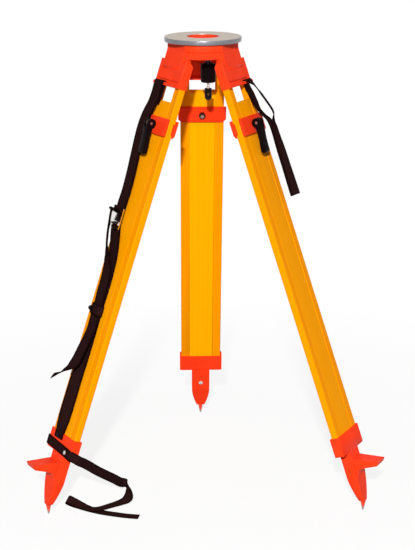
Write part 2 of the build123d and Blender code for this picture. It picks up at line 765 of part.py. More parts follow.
# Foot casting: side outline with the pedal, cut to the tapering front outline, socket for the tenon
foot_top = band_bottom_drop + foot_stop_gap
pedal_end = pedal_top + pedal_fall
pedal_under = pedal_end + pedal_tip_thickness
spike_cut = spike_end + spike_end_half
point_axis = Vector(0, -tilt_sin, -tilt_cos)
point_start = Vector(0, -spike_end_offset, -spike_end)
with BuildPart() as foot:
    with BuildSketch(Plane.YZ):
        with BuildLine():
            Polyline(
                (-neck_inner, -foot_top),
                (-neck_inner, -neck_end),
                (-spike_end_offset - spike_end_half * tilt_cos, -spike_end + spike_end_half * tilt_sin),
                (-spike_end_offset + spike_end_half * tilt_cos, -spike_end - spike_end_half * tilt_sin),
                (neck_outer, -neck_end + spike_end_half),
                (neck_outer + pedal_tip_thickness, -pedal_top - pedal_root_thickness - spike_end_half),
                (pedal_reach / 2, -pedal_under),
                (pedal_reach - spike_end_half, -pedal_under),
                (pedal_reach, -pedal_end),
                (neck_outer, -pedal_top),
                (neck_outer, -foot_top),
                close=True,
            )
        make_face()
    extrude(amount=neck_half, both=True)
    with BuildSketch(front_plane(pedal_reach)):
        with BuildLine():
            Polyline((-neck_half, -neck_end), (-neck_half, -foot_top), (neck_half, -foot_top), (neck_half, -neck_end))
            Line((-spike_end_half, -spike_cut), (spike_end_half, -spike_cut))
            for side in (-1, 1):
                taper_middle = (side * ((neck_half + spike_end_half) / 2 + spike_bulge), -(neck_end + spike_cut) / 2)
                ThreePointArc((side * neck_half, -neck_end), taper_middle, (side * spike_end_half, -spike_cut))
        make_face()
    extrude(amount=2 * pedal_reach, mode=Mode.INTERSECT)
    with BuildSketch(front_plane(pedal_reach)):
        for side in (-1, 1):
            with Locations((side * (pedal_half + neck_half) / 2, -(foot_top + spike_end) / 2)):
                Rectangle(neck_half - pedal_half, spike_end - foot_top)
    extrude(amount=pedal_reach - neck_outer, mode=Mode.SUBTRACT)
    with BuildSketch(Plane.XY.offset(-foot_top)):
        Rectangle(2 * (tenon_half + tenon_wall_gap), board_thickness + 2 * tenon_wall_gap)
    extrude(amount=foot_top - tenon_end - tenon_wall_gap, mode=Mode.SUBTRACT)
    with BuildSketch(front_plane(-neck_inner)):
        with Locations((0, -foot_screw_drop)):
            Circle(foot_screw_radius + bearing_gap)
    extrude(amount=-foot_screw_length - fit_gap, mode=Mode.SUBTRACT)
    with BuildSketch(Plane(origin=point_start, x_dir=(1, 0, 0), z_dir=point_axis)):
        Circle(point_shank_radius + fit_gap)
    extrude(amount=-point_shank_length - fit_gap, mode=Mode.SUBTRACT)

# Steel point let into the foot, upright when the leg stands at its usual spread
with BuildPart() as steel_point:
    with BuildSketch(Plane(origin=point_start, x_dir=(1, 0, 0), z_dir=point_axis)):
        Circle(point_radius)
    with BuildSketch(Plane(origin=point_start + point_axis * point_length, x_dir=(1, 0, 0), z_dir=point_axis)):
        Circle(point_tip_radius)
    loft()
    with BuildSketch(Plane(origin=point_start, x_dir=(1, 0, 0), z_dir=point_axis)):
        Circle(point_shank_radius)
    extrude(amount=-point_shank_length)

with BuildPart() as foot_screw:
    with BuildSketch(front_plane(-neck_inner)):
        with Locations((0, -foot_screw_drop)):
            Circle(foot_screw_head_radius)
    extrude(amount=foot_screw_head_height)
    with BuildSketch(front_plane(-neck_inner)):
        with Locations((0, -foot_screw_drop)):
            Circle(foot_screw_radius)
    extrude(amount=-foot_screw_length)

# Shoulder strap of the left leg: the upper part hangs from the casting's loop and holds the buckle
across_leg = (1, 0, 0)
loop_x = casting_half - strap_post - shoulder_width / 2 - 2 * slide_gap
behind_bar = (strap_bar_back + slot_face) / 2
before_bar = strap_bar_front + shoulder_thickness * 0.75
bar_front = buckle_face + buckle_plate + shoulder_thickness / 2 + fit_gap
bar_back = buckle_face - shoulder_thickness / 2 - fit_gap
casting_turn = round_bar(behind_bar, before_bar, -strap_bar_top, 1, shoulder_thickness)
buckle_turn = round_bar(bar_back, bar_front, -buckle_drop - buckle_bar, -1, shoulder_thickness)
upper_strap_line = [
    (loop_x + 2, 12.4, -84),
    (loop_x, 11.0, -66),
    (loop_x, behind_bar, -51),
    *[(loop_x, y, z) for y, z in casting_turn],
    (loop_x, before_bar, -47),
    (loop_x, before_bar - 0.6, -62),
    (loop_x + 2, 17.6, -84),
    (shoulder_offset, 20.5, -108),
    (shoulder_offset + 2, 22.0, -132),
    (shoulder_offset + 4, 20.5, -160),
    (shoulder_offset + 4, 17.5, -200),
    (shoulder_offset + 1, 15.8, -245),
    (shoulder_offset - 1.5, 15.8, -buckle_drop + 36),
    (shoulder_offset - 0.4, bar_back, -buckle_drop + 12),
    *[(shoulder_offset - 0.4, y, z) for y, z in buckle_turn],
    (shoulder_offset - 0.4, bar_front, -buckle_drop + strap_tail),
]
upper_strap_stations = [(point, across_leg) for point in upper_strap_line]
shoulder_strap_upper = webbing(upper_strap_stations, shoulder_width, shoulder_thickness)

# The lower part comes up from the end band, passes the buckle's plate, stands off in a loop and hangs free below
plate_edge_drop = buckle_drop + buckle_bar + buckle_slot
plate_turn = round_bar(bar_back, bar_front, -plate_edge_drop, 1, shoulder_thickness)[:4]
keeper_end = keeper_drop + keeper_height
keeper_inner = keeper_back + keeper_wall + shoulder_thickness / 2 + slide_gap
keeper_outer = keeper_inner + shoulder_thickness + 2 * slide_gap
on_band = band_face + shoulder_thickness / 2 + fit_gap
on_leg = rail_face + strap_lift
over_leg = on_leg + 2 * strap_lift
raised_edge = (1, 0.26, 0)
flap_turn = (0.92, -0.10, -0.20)
flap_middle_turn = (0.84, -0.22, -0.36)
flap_end_turn = (0.80, -0.31, -0.51)
loop_turn = (0.91, -0.41, 0)


def over_band(height):
    return height * (band_top_drop - keeper_end) / shoulder_run - band_top_drop


def under_buckle(drop):
    return -buckle_drop - drop * (keeper_drop - buckle_drop) / shoulder_fall


lower_strap_line = [
    ((shoulder_end, on_band, -band_top_drop - shoulder_lap), across_leg),
    ((shoulder_end, on_band, -band_top_drop), across_leg),
    ((shoulder_end - 2, on_band + 1.2, over_band(15)), (1, 0.12, 0)),
    ((8.0, on_leg + 4.2, over_band(39)), raised_edge),
    ((shoulder_rest, on_leg + 4.4, over_band(85)), raised_edge),
    ((shoulder_rest, on_leg + 4.2, over_band(125)), (1, 0.22, 0)),
    ((shoulder_rest, on_leg + 1.6, over_band(153)), (1, 0.08, 0)),
    ((shoulder_rest, on_leg, over_band(180)), across_leg),
    ((shoulder_rest, on_leg, over_band(235)), across_leg),
    ((shoulder_rest, keeper_inner, -keeper_end), across_leg),
    ((shoulder_rest, keeper_inner, -keeper_drop), across_leg),
    ((shoulder_rest, on_leg, under_buckle(180)), across_leg),
    ((shoulder_rest, on_leg, under_buckle(156)), across_leg),
    ((8.0, on_leg + 0.4, under_buckle(135)), across_leg),
    ((9.5, on_leg + 1.4, under_buckle(110)), across_leg),
    ((11.5, on_leg + 3.4, under_buckle(90)), across_leg),
    ((15.5, bar_back - 0.4, under_buckle(72)), across_leg),
    ((22.0, bar_back, under_buckle(56)), across_leg),
    ((29.6, bar_back, under_buckle(36)), across_leg),
    *[((shoulder_offset - 0.4, y, z), across_leg) for y, z in plate_turn],
    ((29.6, 21.5, -buckle_drop - 10.6), across_leg),
    ((29.6, 24.5, -buckle_drop - 8.6), across_leg),
    ((29.6, 28.5, -buckle_drop - 6.2), across_leg),
    ((29.6, 32.5, -buckle_drop - 5.6), across_leg),
    ((29.6, 35.6, -buckle_drop - 7.6), (0.97, -0.25, 0)),
    ((29.6, 36.6, -buckle_drop - 12), loop_turn),
    ((29.6, 35.8, under_buckle(21)), loop_turn),
    ((29.6, 33.5, under_buckle(36)), loop_turn),
    ((28.0, 32.0, under_buckle(52)), loop_turn),
    ((25.0, 30.5, under_buckle(68)), loop_turn),
    ((21.0, 28.6, under_buckle(84)), loop_turn),
    ((16.0, 25.6, under_buckle(100)), (0.95, -0.3, 0)),
    ((11.5, 21.4, under_buckle(118)), (0.99, -0.15, 0)),
    ((8.0, over_leg + 1.4, under_buckle(138)), across_leg),
    ((shoulder_rest, over_leg, under_buckle(160)), across_leg),
    ((shoulder_rest, over_leg - 0.2, under_buckle(185)), across_leg),
    ((shoulder_rest, keeper_outer, -keeper_drop), across_leg),
    ((shoulder_rest, keeper_outer, -keeper_end), across_leg),
    ((4.0, over_leg - 0.6, -keeper_end - 31), across_leg),
    ((4.0, over_leg + 2.0, -keeper_end - 51), across_leg),
    ((5.0, 21.6, -keeper_end - 70), across_leg),
    ((7.0, 24.0, -keeper_end - 88), across_leg),
    ((9.0, 26.0, -keeper_end - 103), across_leg),
    ((11.0, 29.0, -keeper_end - 114), across_leg),
    ((13.5, 36.5, -keeper_end - 126), flap_turn),
    ((14.0, 51.0, -keeper_end - 138), flap_middle_turn),
    ((14.0, 69.0, -keeper_end - 149), flap_end_turn),
]
shoulder_strap_lower = webbing(lower_strap_line, shoulder_width, shoulder_thickness)

# Buckle: a frame with a slot for the straps, a plate with a turned-out lip and a window below it
buckle_inside = shoulder_width + 4 * slide_gap
buckle_end = buckle_drop + buckle_height
lip_bottom = buckle_end - buckle_lip_rise
with BuildPart() as strap_buckle:
    with BuildSketch(front_plane(buckle_face + buckle_plate)):
        with Locations((shoulder_offset, -(buckle_drop + buckle_end) / 2)):
            RectangleRounded(buckle_inside + 2 * buckle_side, buckle_height, buckle_bar)
        with Locations((shoulder_offset, -plate_edge_drop + buckle_slot / 2)):
            Rectangle(buckle_inside, buckle_slot, mode=Mode.SUBTRACT)
        with Locations((shoulder_offset, -buckle_end + buckle_bar + buckle_window / 2)):
            Rectangle(buckle_inside, buckle_window, mode=Mode.SUBTRACT)
    extrude(amount=buckle_plate)
    with BuildSketch(Plane.YZ.offset(shoulder_offset)):
        with BuildLine():
            lip_root = buckle_face + buckle_plate
            lip_edge = lip_root + buckle_lip_reach
            Polyline(
                (lip_root, -lip_bottom + 2 * buckle_lip_height),
                (lip_edge, -lip_bottom + buckle_lip_height / 2),
                (lip_edge, -lip_bottom),
                (lip_root, -lip_bottom),
                close=True,
            )
        make_face()
    extrude(amount=buckle_inside / 2, both=True)

# Keeper: a loop with a domed front and a round stud, round both layers of the strap
with BuildPart() as strap_keeper:
    with BuildSketch(Plane.XY.offset(-keeper_end)):
        with BuildLine():
            keeper_half = shoulder_width / 2 + 2 * slide_gap + keeper_wall
            shoulder_y = keeper_back + 2 * keeper_wall + keeper_depth
            left_end = (shoulder_rest - keeper_half, shoulder_y)
            right_end = (shoulder_rest + keeper_half, shoulder_y)
            Polyline(left_end, (left_end[0], keeper_back), (right_end[0], keeper_back), right_end)
            ThreePointArc(right_end, (shoulder_rest, keeper_dome), left_end)
        make_face()
        with Locations((shoulder_rest, keeper_back + keeper_wall + keeper_depth / 2)):
            Rectangle(shoulder_width + 4 * slide_gap, keeper_depth, mode=Mode.SUBTRACT)
    extrude(amount=keeper_height)
    with Locations((shoulder_rest + keeper_stud_side, keeper_dome + keeper_wall, -keeper_drop - keeper_height / 2)):
        Sphere(keeper_stud_radius)

# Rivets that hold the shoulder strap and the closing strap on the left end band
closing_drop = band_bottom_drop - closing_width / 2 - 2 * fit_gap
shoulder_rivet_drop = band_top_drop + shoulder_lap / 2
rivet_places = [
    (shoulder_end, -shoulder_rivet_drop, shoulder_thickness),
    (-34.0, -closing_drop, closing_thickness),
]
with BuildPart() as strap_rivets:
    for rivet_x, rivet_z, layer in rivet_places:
        with BuildSketch(front_plane(band_face + layer + 2 * fit_gap)):
            with Locations((rivet_x, rivet_z)):
                Circle(rivet_head_radius)
        extrude(amount=-rivet_head_height)
        with BuildSketch(front_plane(band_face + layer + 2 * fit_gap)):
            with Locations((rivet_x, rivet_z)):
                Circle(rivet_radius)
        extrude(amount=band_wall + layer + 2 * fit_gap)

with BuildPart() as rivet_holes:
    for rivet_x, rivet_z, layer in rivet_places:
        with BuildSketch(front_plane(band_face + 4 * layer)):
            with Locations((rivet_x, rivet_z)):
                Circle(rivet_radius + bearing_gap)
        extrude(amount=band_wall + 4 * layer)

# Closing strap: wrapped round the left end band, its free length lies on the ground in a fold
left_place = leg_place(leg_angles["left"])


def on_left_leg(x, y, z):
    return (left_place * Location((x, y, z))).position


along_leg = on_left_leg(0, 0, 1) - on_left_leg(0, 0, 0)
upright = (0, 0, 1)
wrap_face = band_face + closing_thickness / 2 + fit_gap
wrap_side = band_half + closing_thickness / 2 + fit_gap
wrap_line = [
    (wrap_side, closing_start, -4.4),
    (wrap_side, wrap_face - 3.0, -4.2),
    (wrap_side, wrap_face, -4.0),
    (wrap_side - 3.0, wrap_face, -3.8),
    (0, wrap_face, -1.8),
    (-wrap_side + 3.0, wrap_face, 0.2),
    (-wrap_side - 0.2, wrap_face + 0.1, 0.5),
    (-wrap_side - 0.4, wrap_face - 3.0, 1.0),
    (-wrap_side - 0.8, -3.0, 4.4),
    (-wrap_side - 1.2, -band_face - 4.0, 8.4),
]
ground = -floor_drop + ground_lift
closing_line = [(on_left_leg(x, y, -closing_drop - fall), along_leg) for x, y, fall in wrap_line]
closing_line += [
    ((-263, -206, ground + 117), (0.25, 0.0, 1)),
    ((-234, -167, ground + 80.5), upright),
    ((-203, -124, ground + 44), upright),
    ((-190, -106, ground + 28), upright),
    ((-184.6, -99.6, ground + 24), upright),
    ((-180.6, -97.2, ground + 22), upright),
    ((-176.6, -97.8, ground + 20), upright),
    ((-173.4, -101.2, ground + 18.4), (-0.15, 0, 1)),
    ((-171, -108, ground + 16), (-0.35, 0, 0.94)),
    ((-169.8, -118.6, ground + 13), (-0.55, 0, 0.83)),
    ((-169.6, -129.2, ground + 10.6), (-0.74, 0, 0.67)),
    ((-171.2, -142, ground + 8.4), (-0.85, 0.22, 0.48)),
    ((-176.5, -155, ground + 6.6), (-0.74, 0.61, 0.28)),
    ((-190, -165.4, ground + 5), (-0.52, 0.84, 0.12)),
    ((-206.8, -175.4, ground + 4), (-0.5, 0.86, 0.04)),
    ((-221.8, -185, ground + 3.6), (-0.5, 0.86, 0)),
    ((-235.7, -193, ground + 3.8), (-0.38, 0.92, 0)),
    ((-249.7, -196, ground + 4.6), (-0.05, 1, 0.04)),
    ((-263.1, -189.6, ground + 5.6), (0.42, 0.9, 0.12)),
    ((-277, -178, ground + 6.8), (0.55, 0.8, 0.25)),
    ((-290, -166.4, ground + 8.2), (0.5, 0.78, 0.4)),
]
ground_fold = Vector(-304, -152, ground + 7.0)
fold_run = Vector(-0.89, 0.45, 0)
fold_out = Vector(-0.225, -0.445, 0.86)
for turn in range(0, 181, 45):
    fold_side = fold_out * cos(radians(turn)) + fold_run * sin(radians(turn))
    closing_line.append((ground_fold + fold_side * ground_lift, (0.39, 0.77, 0.5)))
closing_line += [
    ((-297, -157, ground + 3.0), (0.5, 0.8, 0.32)),
    ((-288, -164.4, ground + 1.0), (0.6, 0.8, 0.1)),
    ((-274.6, -174.4, ground), (0.6, 0.8, 0)),
    ((-246, -193.4, ground), (0.5, 0.87, 0)),
    ((-223.3, -204.8, ground), (0.42, 0.9, 0)),
    ((-199, -214, ground), (0.33, 0.94, 0)),
    ((-174.8, -222, ground), (0.27, 0.96, 0)),
    ((-147, -228.2, ground), (0.24, 0.97, 0)),
]
closing_strap = webbing(closing_line, closing_width, closing_thickness)

# Carry strap of the right leg: looped round the casting's bar, doubled into a stiff handle
handle_turn = (0.96, -0.28, 0)
strand_turn = (0.83, 0.55, 0.10)
carry_line = [
    ((carry_offset, 42.3, -301), handle_turn),
    ((carry_offset, 41.6, -215), (0.985, -0.17, 0)),
    ((carry_offset, 40.8, -150), across_leg),
    ((carry_offset, 39.8, -140), across_leg),
    ((carry_offset, 36.5, -130), (0.99, 0.1, 0)),
    ((carry_offset, 28.5, -118), (0.97, 0.2, 0)),
    ((carry_offset, 21.5, -104), (0.97, 0.2, 0)),
    ((carry_offset, 17.0, -84), across_leg),
    ((carry_offset, 14.0, -64), across_leg),
    ((carry_offset, behind_bar, -50), across_leg),
    *[((carry_offset, y, z), across_leg) for y, z in casting_turn[:-1]],
    ((carry_offset, before_bar + 1.0, -39.5), across_leg),
    ((carry_offset, 22.5, -45), (0.97, 0.2, 0)),
    ((carry_offset, 28.5, -53), (0.9, 0.4, 0.05)),
    ((carry_offset, 38.5, -76), strand_turn),
    ((carry_offset, 47.5, -100), strand_turn),
    ((carry_offset, 51.5, -112), strand_turn),
    ((carry_offset, 52.3, -118), strand_turn),
    ((carry_offset, 51.2, -123.5), (0.87, 0.47, 0.08)),
    ((carry_offset, 48.4, -129.5), (0.93, 0.35, 0.03)),
    ((carry_offset, 45.6, -138), (0.97, 0.2, 0)),
    ((carry_offset, 44.4, -150), across_leg),
    ((carry_offset, 45.1, -215), (0.985, -0.17, 0)),
    ((carry_offset, 45.8, -301), handle_turn),
]
carry_strap = webbing(carry_line, carry_width, carry_thickness)

# Left leg pieces that take the strap rivets
left_rivet_holes = rivet_holes.part
left_band = end_band.part - left_rivet_holes
shoulder_strap_lower = shoulder_strap_lower - left_rivet_holes
closing_strap = closing_strap - left_place * left_rivet_holes

save(head_plate.part, "head_plate")
save(head_casting.part, "head_casting")
save(head_fasteners.part, "head_fasteners")
save(screw_arm.part, "screw_arm")
save(carriage.part, "carriage")
save(thrust_washer.part, "thrust_washer")
save(fixing_screw.part, "fixing_screw")
save(screw_knob.part, "screw_knob")
save(plumb_hook.part, "plumb_hook")

leg_pieces = {
    "leg_top": leg_top.part,
    "hinge_pin": hinge_pin.part,
    "rail_a": rails["rail_a"],
    "rail_b": rails["rail_b"],
    "leg_fasteners": leg_fasteners.part,
    "end_band": end_band.part,
    "centre_board": centre_board.part,
    "clamp_outer": clamp_outer.part,
    "clamp_inner": clamp_inner.part,
    "clamp_bolt": Compound(clamp_bolt.part.solids() + clamp_nut.part.solids()),
    "clamp_lever": clamp_lever.part,
    "lever_pin": lever_pin.part,
    "foot": foot.part,
    "steel_point": steel_point.part,
    "foot_screw": foot_screw.part,
}
for leg, angle in leg_angles.items():
    pieces = dict(leg_pieces)
    if leg == "left":
        pieces["end_band"] = left_band
        pieces["leg_fasteners"] = Compound(leg_fasteners.part.solids() + strap_rivets.part.solids())
    for name, piece in pieces.items():
        save(leg_place(angle) * piece, f"{name}_{leg}")

save(left_place * shoulder_strap_upper, "shoulder_strap_upper")
save(left_place * shoulder_strap_lower, "shoulder_strap_lower")
save(left_place * strap_buckle.part, "strap_buckle")
save(left_place * strap_keeper.part, "strap_keeper")
save(closing_strap, "closing_strap")
save(leg_place(leg_angles["right"]) * carry_strap, "carry_strap")
print("ground at", round(-floor_drop, 2))
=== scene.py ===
import bmesh
import bpy
from math import ceil, cos, pi, radians, sin, tau
from mathutils import Matrix, Vector


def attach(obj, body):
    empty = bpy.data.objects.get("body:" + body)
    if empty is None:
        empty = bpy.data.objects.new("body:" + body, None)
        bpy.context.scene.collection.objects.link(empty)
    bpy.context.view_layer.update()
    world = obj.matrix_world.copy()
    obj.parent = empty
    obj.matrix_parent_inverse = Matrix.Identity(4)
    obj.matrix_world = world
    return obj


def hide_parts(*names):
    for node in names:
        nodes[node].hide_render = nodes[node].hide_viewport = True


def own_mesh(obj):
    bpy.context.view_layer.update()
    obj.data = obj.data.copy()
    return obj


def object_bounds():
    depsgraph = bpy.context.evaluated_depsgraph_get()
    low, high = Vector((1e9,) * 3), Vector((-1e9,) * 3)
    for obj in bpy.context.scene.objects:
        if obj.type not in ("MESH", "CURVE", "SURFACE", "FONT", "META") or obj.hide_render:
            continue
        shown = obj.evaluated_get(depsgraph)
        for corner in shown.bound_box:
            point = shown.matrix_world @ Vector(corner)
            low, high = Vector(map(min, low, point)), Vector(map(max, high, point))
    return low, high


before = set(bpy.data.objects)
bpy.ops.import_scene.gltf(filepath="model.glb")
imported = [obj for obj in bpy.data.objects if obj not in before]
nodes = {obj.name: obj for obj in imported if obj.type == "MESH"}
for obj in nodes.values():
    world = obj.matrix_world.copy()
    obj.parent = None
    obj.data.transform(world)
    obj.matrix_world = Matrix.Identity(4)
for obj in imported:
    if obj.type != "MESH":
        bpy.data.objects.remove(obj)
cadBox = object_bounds()
scene = bpy.context.scene
scene.view_settings.view_transform = "Standard"
print("frame loaded,", len(nodes), "nodes")

# where the legs stand, as in the part's source (mm and degrees)
legFrame = {
    "hingeRadius": 65.0, "hingeDrop": 62.0, "tilt": 20.0,
    "angles": {"rear": 0, "left": 120, "right": 240},
}


def legMatrix(leg):
    hinge = Matrix.Translation((0, legFrame["hingeRadius"] / 1000, -legFrame["hingeDrop"] / 1000))
    turn = Matrix.Rotation(radians(legFrame["angles"][leg]), 4, "Z")
    return turn @ hinge @ Matrix.Rotation(radians(legFrame["tilt"]), 4, "X")


def legPoint(leg, x, y, z):
    return legMatrix(leg) @ Vector((x / 1000, y / 1000, z / 1000))


def legWay(leg, x, y, z):
    return (legMatrix(leg).to_3x3() @ Vector((x, y, z))).normalized()


def legSeat(leg, spot, turn):
    place = Matrix.Translation(legPoint(leg, *spot)) @ legMatrix(leg).to_3x3().to_4x4()
    return place @ Matrix.Rotation(radians(turn), 4, "X")


# shader helpers: a value may be a plain one or a socket
def addNode(tree, kind, **settings):
    node = tree.nodes.new(kind)
    for key, value in settings.items():
        setattr(node, key, value)
    return node


def feed(tree, socket, value):
    if isinstance(value, bpy.types.NodeSocket):
        tree.links.new(value, socket)
    else:
        socket.default_value = value


def feedAll(tree, node, values):
    for key, value in values.items():
        feed(tree, node.inputs[key], value)


def calc(tree, operation, *values):
    node = addNode(tree, "ShaderNodeMath", operation=operation)
    for socket, value in zip(node.inputs, values):
        feed(tree, socket, value)
    return node.outputs[0]


def blendColor(tree, factor, first, second):
    node = addNode(tree, "ShaderNodeMix", data_type="RGBA")
    feedAll(tree, node, {0: factor, 6: first, 7: second})  # 6 and 7 are the colour sockets
    return node.outputs[2]


def blendShader(tree, factor, first, second):
    node = addNode(tree, "ShaderNodeMixShader")
    feedAll(tree, node, {0: factor, 1: first.outputs[0], 2: second.outputs[0]})
    return node


def spread(tree, value, low, high, toLow, toHigh):
    node = addNode(tree, "ShaderNodeMapRange")
    for socket, item in zip(node.inputs, (value, low, high, toLow, toHigh)):
        feed(tree, socket, item)
    return node.outputs[0]


def noiseAt(tree, vector, scale, detail=2.0, roughness=0.5, distortion=0.0):
    node = addNode(tree, "ShaderNodeTexNoise")
    feedAll(tree, node, {"Vector": vector, "Scale": scale, "Detail": detail})
    feedAll(tree, node, {"Roughness": roughness, "Distortion": distortion})
    return node.outputs["Fac"]


def stretched(tree, vector, scale, rotation=(0, 0, 0), location=(0, 0, 0)):
    node = addNode(tree, "ShaderNodeMapping")
    feedAll(tree, node, {"Vector": vector, "Location": location, "Rotation": rotation, "Scale": scale})
    return node.outputs["Vector"]


def axesOf(tree, vector):
    node = addNode(tree, "ShaderNodeSeparateXYZ")
    feed(tree, node.inputs[0], vector)
    return node.outputs


def nearSpot(tree, vector, spot, reach):
    gap = addNode(tree, "ShaderNodeVectorMath", operation="DISTANCE")
    feedAll(tree, gap, {0: vector, 1: spot})
    return calc(tree, "LESS_THAN", gap.outputs["Value"], reach)


def seenDirectly(tree):
    path = addNode(tree, "ShaderNodeLightPath")
    seen = calc(tree, "MAXIMUM", path.outputs["Is Camera Ray"], path.outputs["Is Glossy Ray"])
    return calc(tree, "MAXIMUM", seen, path.outputs["Is Transmission Ray"])


def newGroup(name, inputs, outputs):
    group = bpy.data.node_groups.new(name, "ShaderNodeTree")
    for label, kind, value in inputs:
        socket = group.interface.new_socket(name=label, in_out="INPUT", socket_type="NodeSocket" + kind)
        if value is not None:
            socket.default_value = value
    for label, kind in outputs:
        group.interface.new_socket(name=label, in_out="OUTPUT", socket_type="NodeSocket" + kind)
    return group, group.nodes.new("NodeGroupInput").outputs, group.nodes.new("NodeGroupOutput").inputs


noiseSpan = (0.3, 0.7)  # where a noise node's values mostly lie
skinRough = (0.34, 0.5)  # smoothest and roughest spot of the cast skin


# lacquered wood: fine pores, growth bands and broad tone, running along local Z
def makeWoodGrain():
    look = {
        "pores": (420, 420, 9), "streaks": (95, 95, 2.2), "broad": (16, 16, 1.1), "bands": (1, 0.6, 0.035),
        "bandForm": {"Scale": 26, "Distortion": 5.5, "Detail": 2, "Detail Scale": 1.3},
        "streakShare": 0.5, "bandShare": 0.22, "broadShare": 0.4, "toneSpan": (0.38, 0.78),
        "rough": (0.3, 0.44), "poreDepth": 0.5,
    }
    tree, given, result = newGroup(
        "woodGrain",
        [("Vector", "Vector", None), ("Light", "Color", (1, 0.42, 0.01, 1)),
         ("Deep", "Color", (0.7, 0.25, 0.004, 1)), ("Contrast", "Float", 1.0)],
        [("Color", "Color"), ("Roughness", "Float"), ("Height", "Float")])
    pores = noiseAt(tree, stretched(tree, given["Vector"], look["pores"]), 1.0, detail=4, roughness=0.6)
    streakPlace = stretched(tree, given["Vector"], look["streaks"])
    streaks = noiseAt(tree, streakPlace, 1.0, detail=5, roughness=0.55, distortion=0.4)
    broad = noiseAt(tree, stretched(tree, given["Vector"], look["broad"]), 1.0)
    bands = addNode(tree, "ShaderNodeTexWave", bands_direction="X")
    feedAll(tree, bands, {"Vector": stretched(tree, given["Vector"], look["bands"]), **look["bandForm"]})
    streaky = calc(tree, "MULTIPLY", streaks, look["streakShare"])
    banded = calc(tree, "ADD", streaky, calc(tree, "MULTIPLY", bands.outputs["Fac"], look["bandShare"]))
    mixed = calc(tree, "ADD", banded, calc(tree, "MULTIPLY", broad, look["broadShare"]))
    depth = calc(tree, "MULTIPLY", spread(tree, mixed, *look["toneSpan"], 0.0, 1.0), given["Contrast"])
    feed(tree, result["Color"], blendColor(tree, depth, given["Light"], given["Deep"]))
    feed(tree, result["Roughness"], spread(tree, pores, *noiseSpan, *look["rough"]))
    poreHeight = calc(tree, "MULTIPLY", pores, look["poreDepth"])
    feed(tree, result["Height"], calc(tree, "ADD", poreHeight, streaks))
    return tree


# sprayed paint over a sand casting: slow tone drift and a fine pebbled skin
def makeCastSkin():
    look = {"driftScale": 24, "smearScale": 85}
    tree, given, result = newGroup(
        "castSkin",
        [("Vector", "Vector", None), ("Grit", "Float", 900.0)],
        [("Drift", "Float"), ("Roughness", "Float"), ("Height", "Float")])
    drift = noiseAt(tree, given["Vector"], look["driftScale"], detail=3)
    smear = noiseAt(tree, given["Vector"], look["smearScale"], detail=4, roughness=0.6)
    feed(tree, result["Drift"], spread(tree, drift, *noiseSpan, 0, 1))
    feed(tree, result["Roughness"], spread(tree, smear, *noiseSpan, *skinRough))
    feed(tree, result["Height"], noiseAt(tree, given["Vector"], given["Grit"]))
    return tree


# woven band read from the strap's own UV in metres: ribs across, picks staggered along; the weave's valleys
# get painted shade and its fuzz a random tone
def makeStrapWeave():
    look = {"pickLow": 0.45, "fuzzScale": 70, "fuzz": (0.75, 1.15), "valleyShade": 0.55}
    tree, given, result = newGroup(
        "strapWeave",
        [("Vector", "Vector", None), ("Rib", "Float", 0.0021), ("Pick", "Float", 0.0027)],
        [("Height", "Float"), ("ShadeAndTone", "Float")])
    axes = axesOf(tree, given["Vector"])
    ribCount = calc(tree, "DIVIDE", axes["X"], given["Rib"])
    pickCount = calc(tree, "DIVIDE", axes["Y"], given["Pick"])
    ribRound = calc(tree, "ABSOLUTE", calc(tree, "SINE", calc(tree, "MULTIPLY", ribCount, pi)))
    stagger = calc(tree, "MULTIPLY", calc(tree, "FLOOR", ribCount), pi * 0.5)
    pickWave = calc(tree, "SINE", calc(tree, "ADD", calc(tree, "MULTIPLY", pickCount, tau), stagger))
    height = calc(tree, "MULTIPLY", ribRound, spread(tree, pickWave, -1, 1, look["pickLow"], 1.0))
    fuzz = noiseAt(tree, given["Vector"], look["fuzzScale"], detail=4, roughness=0.6)
    fuzzShade = spread(tree, fuzz, *noiseSpan, *look["fuzz"])
    # painted shade in the weave's valleys, times a random fuzz tone
    shadeAndTone = calc(tree, "MULTIPLY", spread(tree, height, 0, 1, look["valleyShade"], 1.0), fuzzShade)
    feed(tree, result["Height"], height)
    feed(tree, result["ShadeAndTone"], shadeAndTone)
    return tree


# lathe marks in rings about Z
def makeTurnedRings():
    look = {"rise": 0.9, "markDetail": 3, "stainScale": 46}  # the rise carries the rings over the rim
    tree, given, result = newGroup(
        "turnedRings",
        [("Vector", "Vector", None), ("Pitch", "Float", 900.0)],
        [("Mark", "Float"), ("Stain", "Float")])
    axes = axesOf(tree, given["Vector"])
    squares = calc(tree, "ADD", calc(tree, "POWER", axes["X"], 2.0), calc(tree, "POWER", axes["Y"], 2.0))
    travel = calc(tree, "ADD", calc(tree, "SQRT", squares), calc(tree, "MULTIPLY", axes["Z"], look["rise"]))
    marks = addNode(tree, "ShaderNodeTexNoise", noise_dimensions="1D")
    feedAll(tree, marks, {"W": travel, "Scale": given["Pitch"], "Detail": look["markDetail"]})
    stain = noiseAt(tree, given["Vector"], look["stainScale"], detail=4, roughness=0.6)
    feed(tree, result["Mark"], marks.outputs["Fac"])
    feed(tree, result["Stain"], stain)
    return tree


woodGrain = makeWoodGrain()
castSkin = makeCastSkin()
strapWeave = makeStrapWeave()
turnedRings = makeTurnedRings()
print("shader groups built")


def startMaterial(name):
    material = bpy.data.materials.new(name)
    material.use_nodes = True
    tree = material.node_tree
    place = addNode(tree, "ShaderNodeTexCoord")
    return material, tree, tree.nodes["Principled BSDF"], place.outputs


def placeGroup(tree, group, vector, **values):
    node = addNode(tree, "ShaderNodeGroup", node_tree=group)
    feedAll(tree, node, {"Vector": vector, **values})
    return node.outputs


def dress(tree, shader, color, rough, metal=0.0, gloss=0.5):
    feedAll(tree, shader, {"Base Color": color, "Roughness": rough})
    feedAll(tree, shader, {"Metallic": metal, "Specular IOR Level": gloss})


